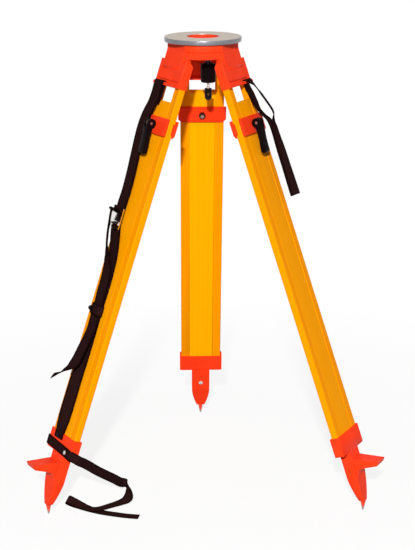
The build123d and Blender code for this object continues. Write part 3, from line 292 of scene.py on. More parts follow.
def bumpFrom(tree, shader, height, strength, distance):
    bump = addNode(tree, "ShaderNodeBump")
    feedAll(tree, bump, {"Strength": strength, "Distance": distance, "Height": height})
    feed(tree, shader.inputs["Normal"], bump.outputs["Normal"])


def skinColor(tree, skin, pair):
    return blendColor(tree, skin["Drift"], *pair)


def skinRoughness(tree, skin, low, high):
    return spread(tree, skin["Roughness"], *skinRough, low, high)


def makeOrangePaint():
    look = {
        "paint": ((0.99, 0.050, 0.010, 1), (0.93, 0.040, 0.007, 1)),
        "gloss": 0.06, "grit": 1100.0, "bump": (0.12, 0.0004),
    }
    material, tree, shader, place = startMaterial("orangePaint")
    skin = placeGroup(tree, castSkin, place["Object"], Grit=look["grit"])
    dress(tree, shader, skinColor(tree, skin, look["paint"]), skin["Roughness"], gloss=look["gloss"])
    bumpFrom(tree, shader, skin["Height"], *look["bump"])
    return material


# the front legs' wood is given darker tones than the rear leg's: painted shade for faces turned from the
# light, and painted light on the rear leg, which faces the lamp; the rails are more orange than the boards
woodTones = {
    "frontRail": {"Light": (0.96, 0.325, 0.0003, 1), "Deep": (0.88, 0.25, 0.0002, 1)},
    "rearRail": {"Light": (1.0, 0.34, 0.0003, 1), "Deep": (0.92, 0.26, 0.0002, 1)},
    "frontBoard": {"Light": (0.97, 0.36, 0.0003, 1), "Deep": (0.90, 0.28, 0.0002, 1)},
    "rearBoard": {"Light": (1.0, 0.44, 0.0003, 1), "Deep": (0.95, 0.36, 0.0002, 1)},  # the yellowest
}


def makeYellowWood(leg, piece, shift):
    look = {"contrast": 0.5, "gloss": 0.02, "bump": (0.1, 0.0003)}
    # the front legs take the painted-shade tones
    row = "rear" if leg == "rear" else "front"
    tones = woodTones[row + ("Board" if piece == "centre_board" else "Rail")]
    material, tree, shader, place = startMaterial("yellowWood_" + leg + "_" + piece)
    turn = (legMatrix(leg).to_3x3().inverted()).to_euler("XYZ")
    along = stretched(tree, place["Object"], (1, 1, 1), tuple(turn), shift)
    grain = placeGroup(tree, woodGrain, along, Contrast=look["contrast"], **tones)
    dress(tree, shader, grain["Color"], grain["Roughness"], gloss=look["gloss"])
    bumpFrom(tree, shader, grain["Height"], *look["bump"])
    return material


def makeTurnedPlate():
    look = {
        "top": ((0.62, 0.545, 0.475, 1), (0.495, 0.435, 0.38, 1)),
        # the rim's darker colour, on the same metal as the top, is a painted reflection of dark
        # surroundings
        "rim": ((0.27, 0.27, 0.29, 1), (0.19, 0.19, 0.205, 1)),
        "faceDepth": -0.0005, "topMetal": 0.5, "topRougher": 0.5,
        "rough": (0.26, 0.44), "pitch": 1500.0, "bump": (0.16, 0.0003),
    }
    material, tree, shader, place = startMaterial("turnedPlate")
    rings = placeGroup(tree, turnedRings, place["Object"], Pitch=look["pitch"])
    onTop = calc(tree, "GREATER_THAN", axesOf(tree, place["Object"])["Z"], look["faceDepth"])
    top = blendColor(tree, rings["Stain"], *look["top"])
    rim = blendColor(tree, rings["Stain"], *look["rim"])
    turned = spread(tree, rings["Mark"], *noiseSpan, *look["rough"])
    rough = calc(tree, "ADD", turned, calc(tree, "MULTIPLY", onTop, look["topRougher"]))
    metal = spread(tree, onTop, 0, 1, 1.0, look["topMetal"])
    dress(tree, shader, blendColor(tree, onTop, rim, top), rough, metal)
    bumpFrom(tree, shader, rings["Mark"], *look["bump"])
    return material


def makePlatedSteel(name, light, dark, rough):
    look = {"roughRange": 0.14, "grit": 2400.0, "bump": (0.08, 0.0002)}
    material, tree, shader, place = startMaterial(name)
    skin = placeGroup(tree, castSkin, place["Object"], Grit=look["grit"])
    dull = skinRoughness(tree, skin, rough, rough + look["roughRange"])
    dress(tree, shader, skinColor(tree, skin, (light, dark)), dull, 1.0)
    bumpFrom(tree, shader, skin["Height"], *look["bump"])
    return material


blackTones = ((0.007, 0.0035, 0.004, 1), (0.004, 0.002, 0.0025, 1))  # moulded knob, levers and hook


def makeBlackPlastic():
    look = {"rough": (0.32, 0.46), "gloss": 0.03, "grit": 1600.0, "bump": (0.06, 0.0003)}
    material, tree, shader, place = startMaterial("blackPlastic")
    skin = placeGroup(tree, castSkin, place["Object"], Grit=look["grit"])
    dull = skinRoughness(tree, skin, *look["rough"])
    dress(tree, shader, skinColor(tree, skin, blackTones), dull, gloss=look["gloss"])
    bumpFrom(tree, shader, skin["Height"], *look["bump"])
    return material


def makePlumbHook():
    look = {
        "endTop": -0.1119,  # above this height the stem is bright, below it the end is black
        "steel": ((0.7, 0.69, 0.66, 1), (0.55, 0.54, 0.52, 1)),
        "gloss": 0.08, "grit": 2000.0, "bump": (0.06, 0.0003),
    }
    material, tree, shader, place = startMaterial("plumbHook")
    skin = placeGroup(tree, castSkin, place["Object"], Grit=look["grit"])
    bright = calc(tree, "GREATER_THAN", axesOf(tree, place["Object"])["Z"], look["endTop"])
    black = skinColor(tree, skin, blackTones)
    steel = skinColor(tree, skin, look["steel"])
    dress(tree, shader, blendColor(tree, bright, black, steel), skin["Roughness"], bright, look["gloss"])
    bumpFrom(tree, shader, skin["Height"], *look["bump"])
    return material


def makeThreadedScrew():
    look = {
        "centreX": 0.011, "pitch": 0.00231, "end": -0.0285,  # 5/8 inch, 11 to the inch
        # the grooves are darker than the ridges: painted shade in the thread's hollows
        "groove": (0.03, 0.029, 0.03, 1), "ridge": (0.10, 0.097, 0.095, 1),
        "rough": (0.3, 0.45), "grit": 2200.0, "bump": (0.8, 0.0008),
    }
    material, tree, shader, place = startMaterial("threadedScrew")
    skin = placeGroup(tree, castSkin, place["Object"], Grit=look["grit"])
    axes = axesOf(tree, place["Object"])
    around = calc(tree, "ARCTAN2", axes["Y"], calc(tree, "SUBTRACT", axes["X"], look["centreX"]))
    turns = calc(tree, "MULTIPLY", axes["Z"], tau / look["pitch"])
    ridge = calc(tree, "SINE", calc(tree, "SUBTRACT", turns, around))
    height = calc(tree, "MULTIPLY", ridge, calc(tree, "GREATER_THAN", axes["Z"], look["end"]))
    # painted shade: darker down in the grooves
    color = blendColor(tree, spread(tree, height, -1, 1, 0, 1), look["groove"], look["ridge"])
    dress(tree, shader, color, skinRoughness(tree, skin, *look["rough"]), 1.0)
    bumpFrom(tree, shader, height, *look["bump"])
    return material


def makeClampBolt(leg):
    look = {
        "tip": (0, -20.3, -129), "reach": 0.0042,  # the pale end of the bolt in its nut
        "dark": ((0.07, 0.04, 0.035, 1), (0.04, 0.025, 0.02, 1)),
        "pale": ((0.42, 0.30, 0.26, 1), (0.32, 0.22, 0.19, 1)),
        "rough": (0.3, 0.45), "grit": 2200.0, "bump": (0.08, 0.0002),
    }
    material, tree, shader, place = startMaterial("clampBolt_" + leg)
    skin = placeGroup(tree, castSkin, place["Object"], Grit=look["grit"])
    onTip = nearSpot(tree, place["Object"], legPoint(leg, *look["tip"]), look["reach"])
    dark = skinColor(tree, skin, look["dark"])
    pale = skinColor(tree, skin, look["pale"])
    dull = skinRoughness(tree, skin, *look["rough"])
    dress(tree, shader, blendColor(tree, onTip, dark, pale), dull, 1.0)
    bumpFrom(tree, shader, skin["Height"], *look["bump"])
    return material


def makeLeftFasteners():
    look = {
        "brightRivet": (-34.0, 13.0, -857.3), "blackRivet": (13.0, 13.0, -832.0), "reach": 0.0075,
        "paint": ((0.98, 0.040, 0.008, 1), (0.90, 0.030, 0.005, 1)),
        "steel": ((0.62, 0.62, 0.66, 1), (0.46, 0.46, 0.50, 1)), "black": (0.006, 0.003, 0.0035, 1),
        "gloss": 0.08, "grit": 1600.0, "bump": (0.08, 0.0003),
    }
    material, tree, shader, place = startMaterial("leftFasteners")
    skin = placeGroup(tree, castSkin, place["Object"], Grit=look["grit"])
    onBright = nearSpot(tree, place["Object"], legPoint("left", *look["brightRivet"]), look["reach"])
    onBlack = nearSpot(tree, place["Object"], legPoint("left", *look["blackRivet"]), look["reach"])
    paint = skinColor(tree, skin, look["paint"])
    steel = skinColor(tree, skin, look["steel"])
    color = blendColor(tree, onBlack, blendColor(tree, onBright, paint, steel), look["black"])
    dress(tree, shader, color, skin["Roughness"], onBright, look["gloss"])
    bumpFrom(tree, shader, skin["Height"], *look["bump"])
    return material


def makeSteelPoint():
    look = {
        "wornTop": -1.0005, "wornBottom": -1.0085,  # the paint is rubbed off towards the tip
        "ragged": 0.004, "raggedScale": 420, "paint": (0.80, 0.05, 0.012, 1),
        "steel": ((0.42, 0.40, 0.38, 1), (0.30, 0.28, 0.26, 1)),
        "grit": 1800.0, "bump": (0.1, 0.0003),
    }
    material, tree, shader, place = startMaterial("steelPoint")
    skin = placeGroup(tree, castSkin, place["Object"], Grit=look["grit"])
    chips = noiseAt(tree, place["Object"], look["raggedScale"], detail=4, roughness=0.6)
    chipped = spread(tree, chips, *noiseSpan, -look["ragged"], look["ragged"])
    edge = calc(tree, "ADD", axesOf(tree, place["Object"])["Z"], chipped)
    bare = spread(tree, edge, look["wornTop"], look["wornBottom"], 0.0, 1.0)
    color = blendColor(tree, bare, look["paint"], skinColor(tree, skin, look["steel"]))
    dress(tree, shader, color, skin["Roughness"], bare)
    bumpFrom(tree, shader, skin["Height"], *look["bump"])
    return material


def makeWebbing():
    look = {
        "deep": (0.006, 0.002, 0.002, 1), "light": (0.028, 0.0098, 0.0098, 1),
        "paintedEdgeSpan": (0.62, 0.94), "paintedEdgeShade": 0.15,  # darker towards the strap's edges
        "rough": (0.62, 0.42), "gloss": 0.0, "bump": (0.4, 0.0005),
    }
    material, tree, shader, place = startMaterial("blackWebbing")
    weave = placeGroup(tree, strapWeave, place["UV"])
    edgeNear = addNode(tree, "ShaderNodeAttribute", attribute_name="edgeNearness")
    # painted shade: the strap's colour darkens towards its edges
    paintedEdgeShade = spread(tree, edgeNear.outputs["Fac"], *look["paintedEdgeSpan"], 1.0, look["paintedEdgeShade"])
    color = blendColor(tree, calc(tree, "MULTIPLY", weave["ShadeAndTone"], paintedEdgeShade), look["deep"], look["light"])
    dress(tree, shader, color, spread(tree, weave["Height"], 0, 1, *look["rough"]), gloss=look["gloss"])
    bumpFrom(tree, shader, weave["Height"], *look["bump"])
    return material


def makeSewingThread():
    look = {
        "light": (0.03, 0.028, 0.028, 1), "deep": (0.012, 0.011, 0.011, 1),
        "twistScale": 2600, "rough": (0.5, 0.7), "bump": (0.4, 0.0002),
    }
    material, tree, shader, place = startMaterial("sewingThread")
    twist = noiseAt(tree, place["Object"], look["twistScale"])
    color = blendColor(tree, twist, look["light"], look["deep"])
    dress(tree, shader, color, spread(tree, twist, *noiseSpan, *look["rough"]))
    bumpFrom(tree, shader, twist, *look["bump"])
    return material


orangePaint = makeOrangePaint()
turnedPlate = makeTurnedPlate()
zincSteel = makePlatedSteel("zincSteel", (0.70, 0.69, 0.66, 1), (0.56, 0.55, 0.53, 1), 0.22)
blackSteel = makePlatedSteel("blackSteel", (0.035, 0.034, 0.035, 1), (0.02, 0.02, 0.02, 1), 0.34)
pinSteel = makePlatedSteel("pinSteel", (0.45, 0.44, 0.43, 1), (0.33, 0.32, 0.31, 1), 0.25)
brightBuckle = makePlatedSteel("brightBuckle", (0.86, 0.85, 0.83, 1), (0.72, 0.70, 0.68, 1), 0.10)
blackPlastic = makeBlackPlastic()
webbing = makeWebbing()
sewingThread = makeSewingThread()
print("materials built")

# finish of each CAD node, by its name without the leg, or by its whole name where the legs differ
finishes = {
    "head_plate": turnedPlate, "head_casting": orangePaint, "head_fasteners": zincSteel,
    "screw_arm": zincSteel, "carriage": blackSteel, "thrust_washer": blackSteel,
    "fixing_screw": makeThreadedScrew(), "screw_knob": blackPlastic, "plumb_hook": makePlumbHook(),
    "leg_top": orangePaint, "hinge_pin": orangePaint, "end_band": orangePaint,
    "leg_fasteners": orangePaint, "leg_fasteners_left": makeLeftFasteners(),
    "clamp_outer": orangePaint, "clamp_inner": orangePaint, "clamp_lever": blackPlastic,
    "lever_pin": pinSteel, "foot": orangePaint, "steel_point": makeSteelPoint(),
    "foot_screw": orangePaint, "foot_screw_rear": zincSteel, "strap_buckle": brightBuckle,
}
for leg in legFrame["angles"]:
    finishes["clamp_bolt_" + leg] = makeClampBolt(leg)
# edge softness in metres, for the nodes whose corners show
softEdges = {
    "head_plate": 0.0004, "head_casting": 0.0007, "screw_arm": 0.0004, "leg_top": 0.0008,
    "end_band": 0.0008, "clamp_outer": 0.0008, "clamp_inner": 0.0008, "clamp_lever": 0.0007,
    "foot": 0.0012, "strap_buckle": 0.0005, "rail_a": 0.0006, "rail_b": 0.0006, "centre_board": 0.0005,
}
softening = {"weld": 0.000002, "flat": 0.5, "segments": 2, "corner": 38}  # metres and degrees
grainStep = (0.037, 0.053, 0.21)  # moves the grain on from one wooden piece to the next


def soften(node, width):
    weld = node.modifiers.new("weld", "WELD")
    weld.merge_threshold = softening["weld"]
    flat = node.modifiers.new("flatten", "DECIMATE")
    flat.decimate_type = "DISSOLVE"
    flat.angle_limit = radians(softening["flat"])
    bevel = node.modifiers.new("softEdge", "BEVEL")
    bevel.width = width
    bevel.segments = softening["segments"]
    bevel.limit_method = "ANGLE"
    bevel.angle_limit = radians(softening["corner"])
    bevel.harden_normals = True


woodCount = 0
for name, node in nodes.items():
    base, _, leg = name.rpartition("_")
    if leg not in legFrame["angles"]:
        base = name
    if base in ("rail_a", "rail_b", "centre_board"):
        woodCount += 1
        finish = makeYellowWood(leg, base, tuple(step * woodCount for step in grainStep))
    else:
        finish = finishes.get(name, finishes.get(base))
    if finish is None:
        continue  # a strap, which a woven one replaces
    if base in softEdges:
        soften(node, softEdges[base])
    node.data.materials.clear()
    node.data.materials.append(finish)
print("CAD nodes finished")

# straps are strips lofted on smooth lines through the same points as their solids
weaving = {
    "fewest": 3,  # rows between two points of a line
    "hemThin": 0.55,  # share of the thickness left at the edges
    "closeStep": 0.002,  # metres of pattern where a loop closes
}
flatAcross = (1, 0, 0)  # a strap's width lies across the leg, where a table names no other side
leftUp = legWay("left", 0, 0, 1)


def legStations(leg, table):
    stations = []
    for x, y, z, *side in table:
        stations.append((legPoint(leg, x, y, z), legWay(leg, *(side[0] if side else flatAcross))))
    return stations


def smoothLine(stations, step):
    points = [Vector(point) for point, _ in stations]
    sides = [Vector(side).normalized() for _, side in stations]
    line = []
    for index in range(len(points) - 1):
        before = points[max(index - 1, 0)]
        here = points[index]
        there = points[index + 1]
        beyond = points[min(index + 2, len(points) - 1)]
        span = (there - here).length
        leave = (there - before) * (span / (span + (here - before).length))
        arrive = (beyond - here) * (span / (span + (beyond - there).length))
        count = max(weaving["fewest"], ceil(span / step))
        for row in range(count):
            share = row / count
            square, cube = share**2, share**3
            spot = here * (2 * cube - 3 * square + 1) + leave * (cube - 2 * square + share)
            spot = spot + there * (3 * square - 2 * cube) + arrive * (cube - square)
            ease = share * share * (3 - 2 * share)
            line.append((spot, sides[index].lerp(sides[index + 1], ease).normalized()))
    line.append((points[-1], sides[-1]))
    return line


def lineLength(line):
    return sum((line[index + 1][0] - line[index][0]).length for index in range(len(line) - 1))


def sectionFrames(line, closed=False):
    frames = []
    count = len(line)
    for index, (spot, side) in enumerate(line):
        if closed:
            run = line[(index + 1) % count][0] - line[index - 1][0]
        else:
            run = line[min(index + 1, count - 1)][0] - line[max(index - 1, 0)][0]
        run.normalize()
        across = (side - run * side.dot(run)).normalized()
        frames.append((spot, across, run.cross(across).normalized()))
    return frames


def addFace(mesh, layer, corners):
    made = mesh.faces.new([corner[0] for corner in corners])
    for loop, corner in zip(made.loops, corners):
        loop[layer].uv = corner[1:]


def addBand(mesh, layer, ring, nextRing):
    for index in range(len(ring)):
        after = (index + 1) % len(ring)
        addFace(mesh, layer, [ring[index], ring[after], nextRing[after], nextRing[index]])


def pieceFrom(mesh, name, finish):
    bmesh.ops.recalc_face_normals(mesh, faces=mesh.faces)
    data = bpy.data.meshes.new(name)
    mesh.to_mesh(data)
    mesh.free()
    piece = bpy.data.objects.new(name, data)
    scene.collection.objects.link(piece)
    data.materials.append(finish)
    return piece


def weaveStrip(name, line, strap, closed=False):
    width, columns = strap["width"], strap["columns"]
    mesh = bmesh.new()
    layer = mesh.loops.layers.uv.new("strapUV")
    edgeNear = mesh.verts.layers.float.new("edgeNearness")
    rings = []
    travelled = 0.0
    frames = sectionFrames(line, closed)
    for index, (spot, across, face) in enumerate(frames):
        if index:
            travelled += (spot - frames[index - 1][0]).length
        ring = []
        for level in (1, -1):
            for column in range(columns + 1)[::level]:  # over the top and back underneath
                offset = (column / columns - 0.5) * width
                edge = abs(column / columns - 0.5) * 2
                half = strap["thickness"] / 2 * (weaving["hemThin"] if column in (0, columns) else 1.0)
                corner = mesh.verts.new(spot + across * offset + face * (level * half))
                corner[edgeNear] = edge
                ring.append((corner, offset + width / 2, travelled))
        rings.append(ring)
    for ring, nextRing in zip(rings, rings[1:]):
        addBand(mesh, layer, ring, nextRing)
    if closed:
        end = travelled + weaving["closeStep"]
        addBand(mesh, layer, rings[-1], [(corner, place, end) for corner, place, _ in rings[0]])
    else:
        for ring, order in ((rings[0], -1), (rings[-1], 1)):
            for column in range(columns):
                corners = [ring[column], ring[column + 1], ring[-2 - column], ring[-1 - column]]
                addFace(mesh, layer, corners[::order])
    piece = pieceFrom(mesh, name, webbing)
    for polygon in piece.data.polygons:
        polygon.use_smooth = True
    return piece


castingTurn = [
    (10.75, -39.6), (10.75, -36.7), (11.55, -35.5), (14.4, -35.0),
    (17.2, -35.5), (18.0, -36.7), (18.0, -39.6),
]  # out from the leg and along it, round a casting's bar
shoulderStrap = {
    "width": 0.036, "thickness": 0.0024, "columns": 8, "step": 0.004,
    "loopX": 23.9, "buckleX": 29.6, "restX": 7.1, "endX": 13.0,  # across the leg, mm
    "buckleTurn": [(16.0, -321.6), (16.0, -324.5), (16.8, -325.7), (18.8, -326.2), (20.8, -325.7),
                   (21.6, -324.5), (21.6, -321.6), (21.6, -318)],
}


def makeUpperStrap():
    loop, buckle = shoulderStrap["loopX"], shoulderStrap["buckleX"]
    table = [(loop + 2, 12.4, -84), (loop, 11.0, -66), (loop, 10.75, -51)]
    table += [(loop, y, z) for y, z in castingTurn]
    table += [
        (loop, 18.0, -47), (loop, 17.4, -62), (25.9, 17.6, -84), (30, 20.5, -108), (32, 22.0, -132),
        (34, 20.5, -160), (34, 17.5, -200), (31, 15.8, -245), (28.5, 15.8, -284), (buckle, 16.0, -308),
    ]
    table += [(buckle, y, z) for y, z in shoulderStrap["buckleTurn"]]
    line = smoothLine(legStations("left", table), shoulderStrap["step"])
    piece = weaveStrip("shoulderStrapUpper", line, shoulderStrap)
    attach(piece, "leg_upper_left")
    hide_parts("shoulder_strap_upper")


def makeLowerStrap():
    rest, end, buckle = (shoulderStrap[key] for key in ("restX", "endX", "buckleX"))
    raised = (1, 0.26, 0)
    loose = (0.91, -0.41, 0)
    table = [
        (end, 11.9, -839), (end, 11.9, -825), (11.0, 13.1, -810, (1, 0.12, 0)), (8.0, 14.6, -786, raised),
        (rest, 14.8, -740, raised), (rest, 14.6, -700, (1, 0.22, 0)), (rest, 12.0, -672, (1, 0.08, 0)),
        (rest, 10.4, -645), (rest, 10.4, -590), (rest, 11.3, -557), (rest, 11.3, -533), (rest, 10.4, -500),
        (rest, 10.4, -476), (8.0, 10.8, -455), (9.5, 11.8, -430), (11.5, 13.8, -410), (15.5, 15.6, -392),
        (22.0, 16.0, -376),
    ]  # from the end band up to the buckle
    table += [(buckle, y, z) for y, z in (
        (16.0, -356), (16.0, -336.4), (16.0, -333.5), (16.8, -332.3), (18.8, -331.8), (21.5, -330.6),
        (24.5, -328.6), (28.5, -326.2), (32.5, -325.6))]
    table += [
        (buckle, 35.6, -327.6, (0.97, -0.25, 0)), (buckle, 36.6, -332, loose), (buckle, 35.8, -341, loose),
        (buckle, 33.5, -356, loose), (28.0, 32.0, -372, loose), (25.0, 30.5, -388, loose),
        (21.0, 28.6, -404, loose), (16.0, 25.6, -420, (0.95, -0.3, 0)),
        (11.5, 21.4, -438, (0.99, -0.15, 0)), (8.0, 17.6, -458), (rest, 16.2, -480), (rest, 16.0, -505),
        (rest, 14.3, -533), (rest, 14.3, -557), (4.0, 15.6, -588), (4.0, 18.2, -608), (5.0, 21.6, -627),
        (7.0, 24.0, -645), (9.0, 26.0, -660), (11.0, 29.0, -671), (13.5, 36.5, -683, (0.92, -0.10, -0.20)),
        (14.0, 51.0, -695, (0.84, -0.22, -0.36)), (14.0, 69.0, -706, (0.80, -0.31, -0.51)),
    ]  # back down under the keeper to the free end
    line = smoothLine(legStations("left", table), shoulderStrap["step"])
    piece = weaveStrip("shoulderStrapLower", line, shoulderStrap)
    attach(piece, "leg_upper_left")
    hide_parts("shoulder_strap_lower")
    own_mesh(piece)


strapKeeper = {
    "width": 0.024, "thickness": 0.0018, "columns": 6, "centreX": 7.1, "half": 19.5, "drop": 545.0,
    "back": 8.9, "dome": 20.1,  # out from the leg, at the middle
    "side": [(2.5, 8.9), (0.6, 9.6), (0, 11.9), (0, 15.6), (1.2, 17.8), (8, 19.1)],  # inwards and out
}


def makeKeeper():
    middle, half = strapKeeper["centreX"], strapKeeper["half"]
    right = [(middle + half - inwards, out) for inwards, out in strapKeeper["side"]]
    left = [(middle - half + inwards, out) for inwards, out in strapKeeper["side"]]
    ring = left[:1] + [(middle, strapKeeper["back"])] + right
    ring += [(middle, strapKeeper["dome"])] + left[:0:-1]
    spots = [legPoint("left", x, y, -strapKeeper["drop"]) for x, y in ring]
    piece = weaveStrip("strapKeeperLoop", [(spot, leftUp) for spot in spots], strapKeeper, closed=True)
    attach(piece, "leg_upper_left")
    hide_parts("strap_keeper")
    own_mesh(piece)


def pickFaces(piece, wanted):
    bpy.ops.mesh.select_mode(type="FACE")
    bpy.ops.mesh.select_all(action="DESELECT")
    mesh = bmesh.from_edit_mesh(piece.data)
    for face in mesh.faces:
        if wanted(face):
            face.select_set(True)
    bmesh.update_edit_mesh(piece.data)


def extrudeAlong(distance):
    bpy.ops.mesh.extrude_region_move(TRANSFORM_OT_translate={"value": (0, 0, distance)})


def closeMesh(merge, angle):
    bpy.ops.mesh.select_all(action="SELECT")
    bpy.ops.mesh.remove_doubles(threshold=merge)
    bpy.ops.mesh.normals_make_consistent(inside=False)
    bpy.ops.object.mode_set(mode="OBJECT")
    bpy.ops.object.shade_smooth_by_angle(angle=radians(angle))


keeperStud = {
    "radius": 0.0055, "segments": 28, "rings": 16, "side": 12.0, "out": 22.8, "cap": 0.8,
    "neck": 0.0006, "foot": 0.0004, "footSize": (1.5, 1.5, 0.2), "merge": 0.00001, "smooth": 40,
}


def makeKeeperStud():
    radius = keeperStud["radius"]
    capHeight = -keeperStud["cap"] * radius
    bpy.ops.object.select_all(action="DESELECT")
    bpy.ops.mesh.primitive_uv_sphere_add(
        segments=keeperStud["segments"], ring_count=keeperStud["rings"], radius=radius)
    stud = bpy.context.active_object
    stud.name = "keeperStud"
    bpy.ops.object.mode_set(mode="EDIT")
    pickFaces(stud, lambda face: face.calc_center_median().z < capHeight)
    extrudeAlong(-keeperStud["neck"])
    extrudeAlong(-keeperStud["foot"])
    bpy.ops.transform.resize(value=keeperStud["footSize"])  # foot on the loop
    closeMesh(keeperStud["merge"], keeperStud["smooth"])
    spot = (strapKeeper["centreX"] + keeperStud["side"], keeperStud["out"], -strapKeeper["drop"])
    stud.data.transform(legSeat("left", spot, -90))
    stud.data.materials.append(blackPlastic)
    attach(stud, "leg_upper_left")
    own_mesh(stud)


closingStrap = {
    "width": 0.021, "thickness": 0.0022, "columns": 6, "step": 0.004, "drop": 857.3, "ground": -1009.32,
    "foldCentre": (-304, -152, 7.0), "foldRun": (-0.89, 0.45, 0), "foldOut": (-0.225, -0.445, 0.86),
    "foldRadius": 2.6, "foldSide": (0.39, 0.77, 0.5),
}


def closingWrap():
    table = [
        (53.4, -4.0, -4.4), (53.4, 8.8, -4.2), (53.4, 11.8, -4.0), (50.4, 11.8, -3.8), (0, 11.8, -1.8),
        (-50.4, 11.8, 0.2), (-53.6, 11.9, 0.5), (-53.8, 8.8, 1.0), (-54.2, -3.0, 4.4), (-54.6, -14.6, 8.4),
    ]  # across the leg, out from it and further down it
    return [(legPoint("left", x, y, -closingStrap["drop"] - lower), leftUp) for x, y, lower in table]


def closingFall():
    up = (0, 0, 1)
    table = [
        (-263, -206, 117, (0.25, 0.0, 1)), (-234, -167, 80.5, up), (-203, -124, 44, up),
        (-190, -106, 28, (-0.06, 0, 1)), (-184.6, -99.6, 24, (-0.14, 0, 1)),
        (-180.6, -97.2, 22, (-0.24, 0, 0.97)), (-176.6, -97.8, 20, (-0.34, 0, 0.94)),
        (-173.4, -101.2, 18.4, (-0.44, 0, 0.9)), (-171, -108, 16, (-0.53, 0, 0.85)),
        (-169.8, -118.6, 13, (-0.64, 0, 0.77)), (-169.6, -129.2, 10.6, (-0.74, 0, 0.67)),
        (-171.2, -142, 8.4, (-0.85, 0.22, 0.48)), (-176.5, -155, 6.6, (-0.74, 0.61, 0.28)),
        (-190, -165.4, 5, (-0.52, 0.84, 0.12)), (-206.8, -175.4, 4, (-0.5, 0.86, 0.04)),
        (-221.8, -185, 3.6, (-0.5, 0.86, 0)), (-235.7, -193, 3.8, (-0.38, 0.92, 0)),
        (-249.7, -196, 4.6, (-0.05, 1, 0.04)), (-263.1, -189.6, 5.6, (0.42, 0.9, 0.12)),
        (-277, -178, 6.8, (0.55, 0.8, 0.25)), (-290, -166.4, 8.2, (0.5, 0.78, 0.4)),
    ]  # place in the part's frame, height over the ground and side
    centre, run, out = (Vector(closingStrap[key]) for key in ("foldCentre", "foldRun", "foldOut"))
    for turn in range(0, 181, 45):  # half round, where the strap doubles back
        way = out * cos(radians(turn)) + run * sin(radians(turn))
        table.append((*(centre + way * closingStrap["foldRadius"]), closingStrap["foldSide"]))
    table += [
        (-297, -157, 3.0, (0.5, 0.8, 0.32)), (-288, -164.4, 1.0, (0.6, 0.8, 0.1)),
        (-274.6, -174.4, 0, (0.6, 0.8, 0)), (-246, -193.4, 0, (0.5, 0.87, 0)),
        (-223.3, -204.8, 0, (0.42, 0.9, 0)), (-199, -214, 0, (0.33, 0.94, 0)),
        (-174.8, -222, 0, (0.27, 0.96, 0)), (-147, -228.2, 0, (0.24, 0.97, 0)),
    ]
    return [(Vector((x, y, closingStrap["ground"] + z)) / 1000, Vector(side)) for x, y, z, side in table]


def makeClosingStrap():
    wrap = closingWrap()
    line = smoothLine(wrap + closingFall(), closingStrap["step"])
    last = min(range(len(line)), key=lambda index: (line[index][0] - wrap[-1][0]).length)
    wrapLine, fallLine = line[:last + 1], line[last:]
    wrapPiece = weaveStrip("closingStrapWrap", wrapLine, closingStrap)
    fallPiece = weaveStrip("closingStrapFall", fallLine, closingStrap)
    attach(wrapPiece, "leg_upper_left")
    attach(fallPiece, "leg_upper_left")
    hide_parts("closing_strap")
    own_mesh(fallPiece)


sewing = {"pitch": 0.0042, "length": 0.0030, "thick": 0.0007, "inset": 0.0028, "sunk": 0.3}


def addStitch(mesh, centre, run, across, face):
    ends = []
    for way in (-1, 1):
        end = centre + run * (way * sewing["length"] / 2) - face * sewing["thick"] * sewing["sunk"]
        ends.append(mesh.verts.new(end))
    waist = []
    for quarter in range(4):
        out = across * cos(quarter * pi / 2) + face * sin(quarter * pi / 2)
        waist.append(mesh.verts.new(centre + out * sewing["thick"] / 2))
    for quarter in range(4):
        here, after = waist[quarter], waist[(quarter + 1) % 4]
        mesh.faces.new((ends[0], after, here))
        mesh.faces.new((ends[1], here, after))


def sewRows(name, line, strap, spans, body):
    mesh = bmesh.new()
    travelled, due = 0.0, 0.0
    frames = sectionFrames(line)
    for index in range(1, len(frames)):
        spot, across, face = frames[index]
        travelled += (spot - frames[index - 1][0]).length
        if travelled < due or not any(low <= travelled <= high for low, high in spans):
            continue
        due = travelled + sewing["pitch"]
        run = across.cross(face).normalized()
        for side in (-1, 1):
            offset = side * (strap["width"] / 2 - sewing["inset"])
            addStitch(mesh, spot + across * offset + face * (strap["thickness"] / 2), run, across, face)
    rows = pieceFrom(mesh, name, sewingThread)
    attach(rows, body)


carryStrap = {
    "width": 0.025, "thickness": 0.0024, "columns": 8, "step": 0.004, "x": -29.0,
    "sewnFrom": 0.002, "sewnTo": 0.148,  # from either end
}


def makeCarryStrap():
    strand = (0.83, 0.55, 0.10)
    handle = (0.96, -0.28, 0)
    eased = (0.985, -0.17, 0)
    turned = (0.97, 0.2, 0)
    table = [
        (42.3, -301, handle), (41.6, -215, eased), (40.8, -150), (39.8, -140), (36.5, -130, (0.99, 0.1, 0)),
        (28.5, -118, turned), (21.5, -104, turned), (17.0, -84), (14.0, -64), (10.75, -50),
    ]  # out from the leg, along it and side
    table += castingTurn[:-1]
    table += [
        (19.0, -39.5), (22.5, -45, turned), (28.5, -53, (0.9, 0.4, 0.05)), (38.5, -76, strand),
        (47.5, -100, strand), (51.5, -112, strand), (52.3, -118, strand),
        (51.2, -123.5, (0.87, 0.47, 0.08)), (48.4, -129.5, (0.93, 0.35, 0.03)), (45.6, -138, turned),
        (44.4, -150), (45.1, -215, eased), (45.8, -301, handle),
    ]
    line = smoothLine(legStations("right", [(carryStrap["x"], *row) for row in table]), carryStrap["step"])
    piece = weaveStrip("carryStrapLoop", line, carryStrap)
    whole = lineLength(line)
    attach(piece, "leg_upper_right")
    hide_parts("carry_strap")
    start, stop = carryStrap["sewnFrom"], carryStrap["sewnTo"]
    spans = [(start, stop), (whole - stop, whole - start)]
    sewRows("carryStitching", line, carryStrap, spans, "leg_upper_right")


